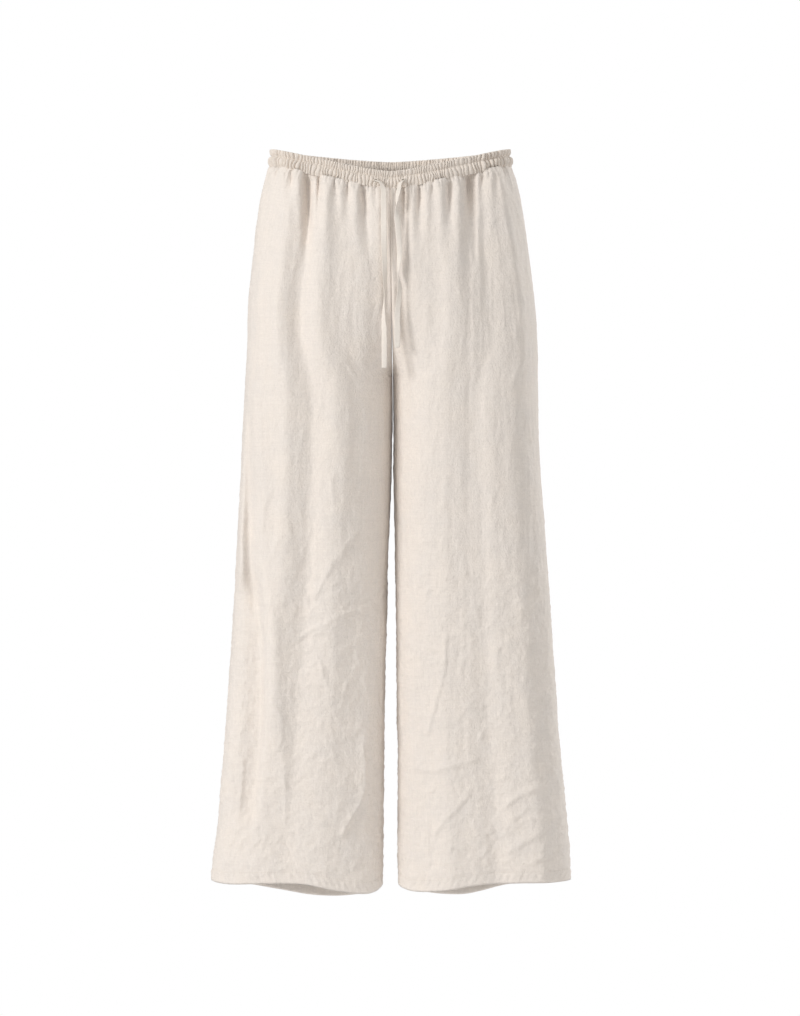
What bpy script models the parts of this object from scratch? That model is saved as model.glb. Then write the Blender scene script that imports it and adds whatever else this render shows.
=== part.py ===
"""Linen drawstring trousers, hanging from the waist and filled out as if worn.

Metres, +Z up. The front faces -Y and the wearer's left leg is at +X. The origin
is the centre of the waist opening, level with the top edge at the side seams.
Every panel is a thin cloth wall lofted through horizontal sections of one leg.
Above the crotch a leg's section is cut off at the middle of the garment, so the
centre seams and the curve of the crotch follow from the same sections.
"""
import math

import bmesh
import bpy
import numpy as np
from mathutils import Matrix, Vector

# Driving dimensions
CLOTH_WALL = 0.0016
BAND_WALL = 0.0024
SEAM_GAP = 0.0006
SQUARENESS = 2.3
BAND_HEIGHT = 0.0235
FRONT_DIP = 0.035
BACK_DIP = 0.013
DIP_POINT = 1.3
DIP_END = 1.1
LEG_END = -1.0440
PANEL_COLUMNS = 18
PANEL_ROWS = 22
BAND_COLUMNS = 32
DIP_FADE_END = -0.26
HEM_FADE_START = -0.78
EYELET_RADIUS = 0.0027
EYELET_STITCH = 0.0008
EYELET_BELOW_TOP = 0.0150
EYELET_SPREAD = (-0.0198, 0.0177)
TAPE_WALL = 0.0014
TAPE_STATIONS = 28

# Sections of the garment, one row for each height. The middle is where the
# centre seam runs. The inner edge of a leg lies that far from the middle, and a
# negative one lies past it, so that the two legs are one tube there.
SECTION_COLUMNS = ("height", "middle", "inner", "side_left", "side_right", "front", "back")
SECTION_ROWS = (
    (0.0100, 0.0000, -0.1670, 0.1675, 0.1680, 0.0735, 0.0740),
    (0.0000, 0.0000, -0.1680, 0.1690, 0.1695, 0.0740, 0.0750),
    (-0.0235, 0.0000, -0.1690, 0.1712, 0.1722, 0.0750, 0.0775),
    (-0.0457, 0.0000, -0.1660, 0.1790, 0.1790, 0.0755, 0.0830),
    (-0.0628, 0.0000, -0.1590, 0.1835, 0.1832, 0.0775, 0.0880),
    (-0.0970, 0.0003, -0.1380, 0.1892, 0.1889, 0.0830, 0.0950),
    (-0.1484, 0.0010, -0.1000, 0.1963, 0.1946, 0.0885, 0.1020),
    (-0.2168, 0.0018, -0.0530, 0.2049, 0.2017, 0.0920, 0.1065),
    (-0.2853, 0.0026, -0.0165, 0.2088, 0.2034, 0.0925, 0.1050),
    (-0.3200, 0.0032, -0.0010, 0.2091, 0.2055, 0.0915, 0.1020),
    (-0.3538, 0.0036, 0.0008, 0.2094, 0.2074, 0.0905, 0.0990),
    (-0.4394, 0.0034, 0.0021, 0.2120, 0.2103, 0.0870, 0.0920),
    (-0.5421, 0.0022, 0.0052, 0.2191, 0.2160, 0.0820, 0.0860),
    (-0.6448, 0.0014, 0.0074, 0.2263, 0.2217, 0.0770, 0.0810),
    (-0.7475, 0.0010, 0.0092, 0.2334, 0.2288, 0.0725, 0.0765),
    (-0.8502, 0.0009, 0.0107, 0.2405, 0.2360, 0.0690, 0.0730),
    (-0.9530, 0.0005, 0.0117, 0.2505, 0.2445, 0.0665, 0.0705),
    (-1.0386, 0.0001, 0.0121, 0.2562, 0.2545, 0.0650, 0.0690),
    (-1.0800, 0.0001, 0.0121, 0.2570, 0.2555, 0.0645, 0.0685),
)

# Broad folds, one row each: the leg and the face they are on, where they lie
# across the panel from the side seam (0) to the inner seam (1) at the top, the
# knee and the hem, how far they stand out there, and half their width.
FOLD_COLUMNS = ("leg", "face", "top", "knee", "hem", "lift_top", "lift_knee", "lift_hem", "width")
FOLD_ROWS = (
    ("right", "front", 0.34, 0.34, 0.27, 0.004, 0.007, 0.003, 0.050),
    ("right", "front", 0.45, 0.45, 0.42, -0.005, -0.008, -0.006, 0.050),
    ("right", "front", 0.57, 0.58, 0.60, 0.005, 0.007, 0.006, 0.070),
    ("right", "front", 0.20, 0.16, 0.22, 0.000, -0.005, -0.007, 0.045),
    ("left", "front", 0.24, 0.24, 0.22, 0.004, 0.006, 0.005, 0.060),
    ("left", "front", 0.43, 0.43, 0.42, -0.005, -0.008, -0.006, 0.060),
    ("left", "front", 0.62, 0.63, 0.64, 0.005, 0.006, 0.006, 0.070),
    ("right", "back", 0.22, 0.24, 0.22, 0.003, 0.005, 0.004, 0.060),
    ("right", "back", 0.40, 0.39, 0.40, -0.004, -0.007, -0.006, 0.055),
    ("right", "back", 0.62, 0.58, 0.60, 0.003, 0.006, 0.006, 0.070),
    ("left", "back", 0.30, 0.31, 0.28, 0.004, 0.006, 0.004, 0.060),
    ("left", "back", 0.48, 0.50, 0.47, -0.004, -0.007, -0.005, 0.055),
    ("left", "back", 0.68, 0.69, 0.66, 0.003, 0.005, 0.005, 0.060),
)
FOLD_HEIGHTS = (-0.06, -0.55, -1.04)
FOLD_SEAM_FADE = 0.10

# Height of the hem around a leg. The turn starts at the side seam (0) and goes
# over the front to the inner seam (0.5) and on over the back.
HEM_COLUMNS = ("turn", "left", "right")
HEM_ROWS = (
    (0.00, -1.0390, -1.0390),
    (0.08, -1.0415, -1.0440),
    (0.18, -1.0420, -1.0425),
    (0.27, -1.0450, -1.0435),
    (0.35, -1.0530, -1.0535),
    (0.42, -1.0545, -1.0580),
    (0.50, -1.0470, -1.0480),
    (0.60, -1.0605, -1.0640),
    (0.70, -1.0660, -1.0680),
    (0.80, -1.0520, -1.0575),
    (0.90, -1.0445, -1.0470),
    (1.00, -1.0390, -1.0390),
)

# Upright profile of the waistband: a gathered heading over a padded channel.
BAND_COLUMNS_OF_PROFILE = ("below_top", "outward")
BAND_PROFILE = (
    (0.0000, 0.0010),
    (0.0040, 0.0004),
    (0.0080, -0.0012),
    (0.0120, 0.0008),
    (0.0185, 0.0010),
    (0.0235, -0.0004),
)

# Free ends of the drawstring, from the eyelet down: place, width across, and
# how far the flat of the tape is turned from facing the front, in degrees.
TAPE_COLUMNS = ("x", "y", "z", "width", "turn")
RIGHT_TAPE = (
    (-0.0190, -0.0812, -0.0459, 0.0036, 10.0),
    (-0.0150, -0.0850, -0.0503, 0.0046, 30.0),
    (-0.0106, -0.0880, -0.0590, 0.0070, 10.0),
    (-0.0093, -0.0905, -0.0800, 0.0080, 0.0),
    (-0.0091, -0.0935, -0.1100, 0.0080, -12.0),
    (-0.0088, -0.0955, -0.1450, 0.0080, 10.0),
    (-0.0076, -0.0965, -0.1800, 0.0080, 35.0),
    (-0.0082, -0.0970, -0.2100, 0.0078, 80.0),
    (-0.0096, -0.0970, -0.2350, 0.0078, 120.0),
    (-0.0086, -0.0970, -0.2650, 0.0080, 160.0),
    (-0.0084, -0.0970, -0.3130, 0.0080, 175.0),
)
LEFT_TAPE = (
    (0.0170, -0.0812, -0.0462, 0.0036, -10.0),
    (0.0152, -0.0850, -0.0508, 0.0046, -30.0),
    (0.0120, -0.0880, -0.0610, 0.0064, -25.0),
    (0.0092, -0.0905, -0.0790, 0.0074, -70.0),
    (0.0093, -0.0925, -0.0960, 0.0080, -150.0),
    (0.0117, -0.0945, -0.1250, 0.0080, -170.0),
    (0.0131, -0.0960, -0.1560, 0.0080, -200.0),
    (0.0108, -0.0970, -0.1780, 0.0078, -260.0),
    (0.0130, -0.0970, -0.1970, 0.0078, -310.0),
    (0.0102, -0.0970, -0.2350, 0.0080, -350.0),
    (0.0098, -0.0970, -0.2845, 0.0080, -360.0),
)

LINEN = (0.800, 0.735, 0.670, 1.0)
LINEN_TAPE = (0.780, 0.715, 0.645, 1.0)
EYELET_THREAD = (0.740, 0.665, 0.580, 1.0)


def column(rows, names, name):
    """One named column of a table, as an array."""
    return np.array([row[names.index(name)] for row in rows], dtype=float)


def smooth_read(knots, values, at):
    """Read a smooth curve through (knots, values) at one or many places."""
    knots = np.asarray(knots, dtype=float)
    values = np.asarray(values, dtype=float)
    if knots[0] > knots[-1]:
        knots, values = knots[::-1], values[::-1]
    slopes = np.gradient(values, knots)
    at = np.clip(np.asarray(at, dtype=float), knots[0], knots[-1])
    cell = np.clip(np.searchsorted(knots, at, side="right") - 1, 0, len(knots) - 2)
    span = knots[cell + 1] - knots[cell]
    s = (at - knots[cell]) / span
    start = (1.0 + 2.0 * s) * (1.0 - s) ** 2 * values[cell]
    start_slope = s * (1.0 - s) ** 2 * span * slopes[cell]
    end = s * s * (3.0 - 2.0 * s) * values[cell + 1]
    end_slope = s * s * (s - 1.0) * span * slopes[cell + 1]
    return start + start_slope + end + end_slope


def section_at(height, name):
    """A named measure of the section at a height."""
    heights = column(SECTION_ROWS, SECTION_COLUMNS, "height")
    return float(smooth_read(heights, column(SECTION_ROWS, SECTION_COLUMNS, name), height))


def ease(value):
    """Smooth step from 0 to 1."""
    value = min(max(value, 0.0), 1.0)
    return value * value * (3.0 - 2.0 * value)


def half_section(leg, face, height, share):
    """Point and outward direction on one leg's front or back at a height.

    The share runs from the side seam (0) to the inner or centre seam (1) and is
    even along the cloth. Points are measured for the leg at +X.
    """
    middle = section_at(height, "middle")
    sign = 1.0 if leg == "left" else -1.0
    outer = section_at(height, "side_" + leg) - sign * middle
    inner = section_at(height, "inner")
    depth = section_at(height, face)
    centre = 0.5 * (outer + inner)
    reach = 0.5 * (outer - inner)
    cut = min(max(centre / reach, -1.0), 1.0)
    end = math.acos(-abs(cut) ** (SQUARENESS / 2.0)) if inner < 0.0 else math.pi
    turn = np.linspace(0.0, end, 241)
    power = 2.0 / SQUARENESS
    x = centre + reach * np.sign(np.cos(turn)) * np.abs(np.cos(turn)) ** power
    y = depth * np.abs(np.sin(turn)) ** power
    steps = np.hypot(np.diff(x), np.diff(y))
    run = np.concatenate(([0.0], np.cumsum(steps)))
    place = share * run[-1]
    near = 0.004 * run[-1]
    px, py = np.interp(place, run, x), np.interp(place, run, y)
    before, after = max(place - near, 0.0), min(place + near, run[-1])
    dx = np.interp(after, run, x) - np.interp(before, run, x)
    dy = np.interp(after, run, y) - np.interp(before, run, y)
    length = math.hypot(dx, dy)
    side = -1.0 if face == "front" else 1.0
    point = Vector((px, side * py, height))
    outward = Vector((dy / length, side * -dx / length, 0.0))
    return point, outward, middle


def fold_lift(leg, face, height, share):
    """How far the broad folds push the cloth out at a place on a panel."""
    lift = 0.0
    for row in FOLD_ROWS:
        fold = dict(zip(FOLD_COLUMNS, row))
        if (fold["leg"], fold["face"]) != (leg, face):
            continue
        centre = smooth_read(FOLD_HEIGHTS, (fold["top"], fold["knee"], fold["hem"]), height)
        lifts = (fold["lift_top"], fold["lift_knee"], fold["lift_hem"])
        size = smooth_read(FOLD_HEIGHTS, lifts, height)
        lift += float(size) * math.exp(-(((share - float(centre)) / fold["width"]) ** 2))
    from_seam = min(share, 1.0 - share)
    return lift * ease(from_seam / FOLD_SEAM_FADE)


def waist_dip(leg, face, share):
    """How far the waist's edge hangs below its height at the side seams."""
    point, _, _ = half_section(leg, face, -BAND_HEIGHT, share)
    aside = min(abs(point.x) / abs(section_at(-BAND_HEIGHT, "side_" + leg)), 1.0)
    return (FRONT_DIP if face == "front" else BACK_DIP) * (1.0 - aside**DIP_POINT) ** DIP_END


def hem_height(leg, face, share):
    """Height of the hem's edge at a place on a panel."""
    turn = 0.5 * share if face == "front" else 1.0 - 0.5 * share
    turns = column(HEM_ROWS, HEM_COLUMNS, "turn")
    return float(smooth_read(turns, column(HEM_ROWS, HEM_COLUMNS, leg), turn))


def placed(leg, face, point, outward, middle):
    """Move a point to its leg's side, clear of the seams it shares."""
    side = -1.0 if face == "front" else 1.0
    keep_out = 0.5 * SEAM_GAP + 0.5 * CLOTH_WALL * abs(outward.x)
    x = max(point.x, keep_out)
    sign = 1.0 if leg == "left" else -1.0
    return Vector((middle + sign * x, point.y + side * 0.5 * SEAM_GAP, point.z))


def panel_heights():
    """Nominal heights of a panel's rows, closer together at the crotch."""
    top = -BAND_HEIGHT - SEAM_GAP
    crotch = -0.3200
    upper = [top + (crotch - top) * (1.0 - (1.0 - i / 9) ** 1.3) for i in range(10)]
    count = PANEL_ROWS - 9
    lower = [crotch + (LEG_END - crotch) * (i / count) ** 1.15 for i in range(1, count + 1)]
    return upper + lower


def panel_point(leg, face, nominal, share):
    """Place on a panel, from its nominal height and its share across."""
    top = -BAND_HEIGHT - SEAM_GAP
    near_waist = ease((nominal - DIP_FADE_END) / (top - DIP_FADE_END))
    near_hem = ease((HEM_FADE_START - nominal) / (HEM_FADE_START - LEG_END))
    height = nominal - near_waist * waist_dip(leg, face, share)
    height += near_hem * (hem_height(leg, face, share) - LEG_END)
    point, outward, middle = half_section(leg, face, height, share)
    point = point + outward * fold_lift(leg, face, height, share)
    return placed(leg, face, point, outward, middle)


def grid_mesh(name, rows):
    """Open surface through rows of points, its faces turned by the caller."""
    mesh = bpy.data.meshes.new(name)
    flesh = bmesh.new()
    grid = [[flesh.verts.new(point) for point in row] for row in rows]
    for upper, lower in zip(grid, grid[1:]):
        for i in range(len(upper) - 1):
            flesh.faces.new((upper[i], upper[i + 1], lower[i + 1], lower[i]))
    flesh.to_mesh(mesh)
    flesh.free()
    return mesh


def linen_material(name, colour, roughness):
    """A cloth finish for one piece."""
    material = bpy.data.materials.new(name)
    material.use_nodes = True
    shader = material.node_tree.nodes["Principled BSDF"]
    shader.inputs["Base Color"].default_value = colour
    shader.inputs["Roughness"].default_value = roughness
    shader.inputs["Metallic"].default_value = 0.0
    return material


def add_piece(name, mesh, collection, colour, roughness=0.85):
    """Put a mesh in the garment as a named piece with its own finish."""
    piece = bpy.data.objects.new(name, mesh)
    piece.data.materials.append(linen_material(name, colour, roughness))
    collection.objects.link(piece)
    return piece


def give_wall(piece, thickness):
    """Turn an open surface into a wall, half of it on either side."""
    wall = piece.modifiers.new("wall", "SOLIDIFY")
    wall.thickness = thickness
    wall.offset = 0.0
    wall.use_even_offset = False
    wall.use_quality_normals = False


def make_panel(leg, face, collection):
    """One leg panel, from the waistband's seam to the hem."""
    shares = [i / PANEL_COLUMNS for i in range(PANEL_COLUMNS + 1)]
    if (leg == "left") == (face == "front"):
        shares = shares[::-1]
    rows = [[panel_point(leg, face, nominal, share) for share in shares]
            for nominal in panel_heights()]
    rows = [row[::-1] for row in rows]
    piece = add_piece(face + "_" + leg, grid_mesh(face + "_" + leg, rows), collection, LINEN)
    give_wall(piece, CLOTH_WALL)
    return piece


def band_point(face, below_top, outward_by, across):
    """Place on the waistband: across runs from the +X side seam to the -X one."""
    leg = "left" if across <= 0.5 else "right"
    share = 2.0 * across if across <= 0.5 else 2.0 * (1.0 - across)
    height = -below_top - waist_dip(leg, face, share)
    point, outward, middle = half_section(leg, face, height, share)
    point = point + outward * outward_by
    sign = 1.0 if leg == "left" else -1.0
    side = -1.0 if face == "front" else 1.0
    return Vector((middle + sign * point.x, point.y + side * 0.5 * SEAM_GAP, point.z))


def make_band(face, collection):
    """The front or back half of the waistband, between the side seams."""
    places = [i / BAND_COLUMNS for i in range(BAND_COLUMNS + 1)]
    rows = [[band_point(face, below, outward, across) for across in places]
            for below, outward in BAND_PROFILE]
    if face == "back":
        rows = [row[::-1] for row in rows]
    name = "waistband_" + face
    piece = add_piece(name, grid_mesh(name, rows), collection, LINEN)
    give_wall(piece, BAND_WALL)
    return piece


def band_front_at(x):
    """Middle of the front channel at a distance from the centre, and its tilt."""
    across = np.linspace(0.3, 0.7, 161)
    points = [band_point("front", EYELET_BELOW_TOP, 0.0010, a) for a in across]
    nearest = min(range(len(points)), key=lambda i: abs(points[i].x - x))
    left, right = points[max(nearest - 2, 0)], points[min(nearest + 2, 160)]
    along = (left - right).normalized()
    outward = Vector((0.0, 0.0, 1.0)).cross(along).normalized()
    if outward.y > 0.0:
        outward = -outward
    return points[nearest], outward


def make_eyelet(side, x, collection):
    """A small ring of stitches around the hole that the drawstring leaves."""
    point, outward = band_front_at(x)
    centre = point + outward * (0.5 * BAND_WALL + EYELET_STITCH + 0.5 * SEAM_GAP)
    bpy.ops.mesh.primitive_torus_add(
        major_radius=EYELET_RADIUS, minor_radius=EYELET_STITCH,
        major_segments=16, minor_segments=6, location=(0.0, 0.0, 0.0))
    ring = bpy.context.object
    ring.name = "eyelet_" + side
    ring.data.name = ring.name
    turn = outward.to_track_quat("Z", "Y").to_matrix().to_4x4()
    ring.data.transform(Matrix.Translation(centre) @ turn)
    ring.data.materials.append(linen_material(ring.name, EYELET_THREAD, 0.8))
    ring.data.shade_smooth()
    for owner in list(ring.users_collection):
        owner.objects.unlink(ring)
    collection.objects.link(ring)
    return ring


def make_tape(side, route, collection):
    """One free end of the drawstring, a flat tape that turns as it hangs."""
    table = {name: column(route, TAPE_COLUMNS, name) for name in TAPE_COLUMNS}
    places = np.stack([table["x"], table["y"], table["z"]], axis=1)
    legs = np.linalg.norm(np.diff(places, axis=0), axis=1)
    run = np.concatenate(([0.0], np.cumsum(legs)))
    stations = np.linspace(0.0, run[-1], TAPE_STATIONS + 1)
    read = {name: smooth_read(run, table[name], stations) for name in TAPE_COLUMNS}
    rows = []
    for i in range(TAPE_STATIONS + 1):
        angle = math.radians(read["turn"][i])
        across = Vector((math.cos(angle), math.sin(angle), 0.0)) * (0.5 * read["width"][i])
        centre = Vector((read["x"][i], read["y"][i], read["z"][i]))
        rows.append([centre - across, centre + across])
    name = "drawstring_" + side
    piece = add_piece(name, grid_mesh(name, rows), collection, LINEN_TAPE)
    give_wall(piece, TAPE_WALL)
    return piece


def main():
    """Clear the file and build the trousers."""
    for old in list(bpy.data.objects):
        bpy.data.objects.remove(old, do_unlink=True)
    collection = bpy.data.collections.new("linen_drawstring_trousers")
    bpy.context.scene.collection.children.link(collection)
    for leg in ("left", "right"):
        for face in ("front", "back"):
            make_panel(leg, face, collection)
    for face in ("front", "back"):
        make_band(face, collection)
    for side, x in zip(("right", "left"), EYELET_SPREAD):
        make_eyelet(side, x, collection)
    make_tape("right", RIGHT_TAPE, collection)
    make_tape("left", LEFT_TAPE, collection)


main()
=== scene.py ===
"""Linen drawstring trousers: the looks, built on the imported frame.

Metres, +Z up, front at -Y, the wearer's left at +X, origin at the waist opening.
Each panel is a thin shell on its solid's form, with its own folds and creases.
Tables of folds are in millimetres, in the garment's own frame: x across and z up,
as seen on the face that they belong to.
"""
import logging
import math
import random
from dataclasses import dataclass, field
from enum import Enum
from typing import Callable, Sequence

import bmesh
import bpy
import numpy as np
from mathutils import Matrix, Vector, noise


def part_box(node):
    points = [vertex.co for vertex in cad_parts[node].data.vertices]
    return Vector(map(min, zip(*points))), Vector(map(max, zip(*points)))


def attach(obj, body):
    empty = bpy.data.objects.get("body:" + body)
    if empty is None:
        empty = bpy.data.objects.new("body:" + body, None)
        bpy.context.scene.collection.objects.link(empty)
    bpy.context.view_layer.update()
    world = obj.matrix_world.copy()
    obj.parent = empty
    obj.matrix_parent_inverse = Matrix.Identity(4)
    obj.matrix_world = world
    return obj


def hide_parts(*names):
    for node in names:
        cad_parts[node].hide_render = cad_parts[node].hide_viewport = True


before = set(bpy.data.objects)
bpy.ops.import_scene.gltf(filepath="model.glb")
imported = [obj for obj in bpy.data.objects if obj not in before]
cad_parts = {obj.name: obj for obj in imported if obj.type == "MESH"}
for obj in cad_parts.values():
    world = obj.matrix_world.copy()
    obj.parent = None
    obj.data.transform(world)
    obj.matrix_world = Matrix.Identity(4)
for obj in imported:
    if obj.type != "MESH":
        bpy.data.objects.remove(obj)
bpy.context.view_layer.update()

LOG = logging.getLogger("trousers")
MM = 0.001
BODY = "root"
Array = np.ndarray


class Leg(Enum):
    """A leg, by the wearer's side."""

    LEFT = "left"
    RIGHT = "right"

    @property
    def sign(self) -> float:
        """Which way the leg lies along X."""
        return 1.0 if self is Leg.LEFT else -1.0


class Face(Enum):
    """The front or the back of the garment."""

    FRONT = "front"
    BACK = "back"

    @property
    def side(self) -> float:
        """Which way the face looks along Y."""
        return -1.0 if self is Face.FRONT else 1.0


class Slot(Enum):
    """Material slots of the record."""

    LINEN = "linen"
    WAISTBAND = "waistband"
    DRAWSTRING = "drawstring"
    THREAD = "thread"


def ease(value: Array) -> Array:
    """Smooth step from 0 to 1."""
    value = np.clip(value, 0.0, 1.0)
    return value * value * (3.0 - 2.0 * value)


def smooth_read(knots: Sequence[float], values: Sequence[float], at: Array) -> Array:
    """Read a smooth curve through its knots.

    Args:
        knots: Places along the curve, rising or falling.
        values: Values at the knots.
        at: Places to read.

    Returns:
        The values there.
    """
    known = np.asarray(knots, dtype=float)
    heights = np.asarray(values, dtype=float)
    if known[0] > known[-1]:
        known, heights = known[::-1], heights[::-1]
    slopes = np.gradient(heights, known)
    at = np.clip(np.asarray(at, dtype=float), known[0], known[-1])
    cell = np.clip(np.searchsorted(known, at, side="right") - 1, 0, len(known) - 2)
    span = known[cell + 1] - known[cell]
    s = (at - known[cell]) / span
    start = (1.0 + 2.0 * s) * (1.0 - s) ** 2 * heights[cell]
    start = start + s * (1.0 - s) ** 2 * span * slopes[cell]
    end = s * s * (3.0 - 2.0 * s) * heights[cell + 1]
    return start + end + s * s * (s - 1.0) * span * slopes[cell + 1]


def bump(value: Array, centre: float, width: float, power: float = 2.0) -> Array:
    """A soft bump: 1 at its centre, falling to 0 beyond its width."""
    return np.exp(-((np.abs(value - centre) / width) ** power))


def signed_power(value: Array, power: float) -> Array:
    """A power of the size of a value, with its sign kept."""
    return np.sign(value) * np.abs(value) ** power


def lengths_along(points: Array) -> Array:
    """Length of the way along points, from 0 at the first."""
    return np.concatenate(([0.0], np.cumsum(np.linalg.norm(np.diff(points, axis=0), axis=1))))


def read_line(run: Array, line: Array, at: Array) -> Array:
    """Columns of a line read smoothly at lengths along it."""
    return np.stack([smooth_read(run, column, at) for column in line.T], axis=1)


def smooth_line(points: Sequence[Sequence[float]], step: float) -> Array:
    """Points about a step apart on a smooth curve through a few points."""
    route = np.asarray(points, dtype=float)
    run = lengths_along(route)
    return read_line(run, route, np.linspace(0.0, run[-1], max(2, math.ceil(run[-1] / step) + 1)))


def cloth_noise(points: Array, size: float, seed: float) -> Array:
    """Smooth noise in space, from about -1 to 1.

    Args:
        points: Places, one row each, in metres.
        size: Width of its bumps, in metres.
        seed: Offset that makes a pattern of its own.

    Returns:
        One value for each place.
    """
    offset = Vector((seed, 2.3 * seed, -1.7 * seed))
    scale = 1.0 / size
    return np.array([noise.noise(Vector(p) * scale + offset) for p in points.tolist()])


@dataclass(frozen=True)
class Fold:
    """A flute, tuck or crease along a line on one face of the cloth.

    The line runs downwards or from left to right. The lift is outward. The two
    widths are on the right hand and on the left hand of the way it runs.
    """

    line: tuple[tuple[float, float], ...]
    lift: float
    right_hand: float
    left_hand: float
    fade_in: float = 10.0
    fade_out: float = 10.0
    crisp: float = 2.0

    def push(self, x: Array, z: Array) -> Array:
        """How far the fold moves the cloth outward.

        Args:
            x: Places across, in millimetres.
            z: Heights, in millimetres.

        Returns:
            Outward moves in millimetres.
        """
        moved = np.zeros_like(x)
        width = max(self.right_hand, self.left_hand)
        route = smooth_line(self.line, max(2.5, 0.6 * width))
        low, high = route.min(axis=0) - 3.0 * width, route.max(axis=0) + 3.0 * width
        near = (x > low[0]) & (x < high[0]) & (z > low[1]) & (z < high[1])
        if not near.any():
            return moved
        px, pz = x[near], z[near]
        best = np.full(px.shape, np.inf)
        side = np.zeros_like(px)
        along = np.zeros_like(px)
        run = 0.0
        for (ax, az), (bx, bz) in zip(route, route[1:]):
            dx, dz = bx - ax, bz - az
            length = math.hypot(dx, dz)
            t = np.clip(((px - ax) * dx + (pz - az) * dz) / (length * length), 0.0, 1.0)
            ox, oz = px - ax - t * dx, pz - az - t * dz
            far = np.hypot(ox, oz)
            closer = far < best
            best = np.where(closer, far, best)
            side = np.where(closer, dx * (pz - az) - dz * (px - ax), side)
            along = np.where(closer, run + t * length, along)
            run += length
        spread = np.where(side > 0.0, self.left_hand, self.right_hand)
        strength = ease(along / self.fade_in) * ease((run - along) / self.fade_out)
        moved[near] = self.lift * strength * np.exp(-((best / spread) ** self.crisp))
        return moved


def flute(line: tuple, lift: float, width: float, fade: float = 60.0) -> Fold:
    """A broad soft fold that fades slowly at its ends."""
    return Fold(line, lift, width, width, fade, fade)


def tuck(line: tuple, lift: float, width: float, fade: float = 45.0) -> Fold:
    """A gather below the waistband: full at the seam, fading downwards."""
    return Fold(line, lift, width, width, 0.5, fade)


def crease(line: tuple, lift: float, width: float, lean: float = 0.0) -> Fold:
    """A crisp crease, steeper on one hand when it leans."""
    return Fold(line, 1.45 * lift, width * (1.0 + lean), width * (1.0 - lean), 9.0, 9.0, 1.25)


WALL = 0.00055
BAND_WALL = 0.00050
SEAM_GAP = 0.0006
SQUARENESS = 2.3
BAND_HEIGHT = 0.0235
BAND_DEPTH = 0.0022
GATHERED = 0.40
GROOVE_BELOW = 0.0092
DIPS = {Face.FRONT: 0.035, Face.BACK: 0.013}
DIP_POINT = 1.3
DIP_END = 1.1
LEG_END = -1.0440
DIP_FADE_END = -0.26
HEM_FADE_START = -0.78
HEM_TURN = 0.020
HEM_STITCHES = 0.017
PANEL_TOP = -BAND_HEIGHT - SEAM_GAP
TUCKED_IN = 0.0030
FINE_ROWS_END = PANEL_TOP - 0.085
CLOSE_ROWS_START = -0.600
PANEL_ROWS = (46, 78, 166)
SMALL_CREASES = 85
FORM_ENDS = (-1.078, 0.009)
FORM_ROWS, FORM_COLUMNS, ARC_STEPS = 420, 161, 721

SECTION_COLUMNS = ("height", "middle", "inner", "side_left", "side_right", "front", "back")
SECTION_ROWS = (
    (0.0100, 0.0000, -0.1670, 0.1675, 0.1680, 0.0735, 0.0740),
    (0.0000, 0.0000, -0.1680, 0.1690, 0.1695, 0.0740, 0.0750),
    (-0.0235, 0.0000, -0.1690, 0.1712, 0.1722, 0.0750, 0.0775),
    (-0.0457, 0.0000, -0.1660, 0.1790, 0.1790, 0.0755, 0.0830),
    (-0.0628, 0.0000, -0.1590, 0.1835, 0.1832, 0.0775, 0.0880),
    (-0.0970, 0.0003, -0.1380, 0.1892, 0.1889, 0.0830, 0.0950),
    (-0.1484, 0.0010, -0.1000, 0.1963, 0.1946, 0.0885, 0.1020),
    (-0.2168, 0.0018, -0.0530, 0.2049, 0.2017, 0.0920, 0.1065),
    (-0.2853, 0.0026, -0.0165, 0.2088, 0.2034, 0.0925, 0.1050),
    (-0.3200, 0.0032, -0.0010, 0.2091, 0.2055, 0.0915, 0.1020),
    (-0.3538, 0.0036, 0.0008, 0.2094, 0.2074, 0.0905, 0.0990),
    (-0.4394, 0.0034, 0.0021, 0.2120, 0.2103, 0.0870, 0.0920),
    (-0.5421, 0.0022, 0.0052, 0.2191, 0.2160, 0.0820, 0.0860),
    (-0.6448, 0.0014, 0.0074, 0.2263, 0.2217, 0.0770, 0.0810),
    (-0.7475, 0.0010, 0.0092, 0.2334, 0.2288, 0.0725, 0.0765),
    (-0.8502, 0.0009, 0.0107, 0.2405, 0.2360, 0.0690, 0.0730),
    (-0.9530, 0.0005, 0.0117, 0.2505, 0.2445, 0.0665, 0.0705),
    (-1.0386, 0.0001, 0.0121, 0.2562, 0.2545, 0.0650, 0.0690),
    (-1.0800, 0.0001, 0.0121, 0.2570, 0.2555, 0.0645, 0.0685),
)
SECTIONS = {name: tuple(row[i] for row in SECTION_ROWS)
            for i, name in enumerate(SECTION_COLUMNS)}

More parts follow.
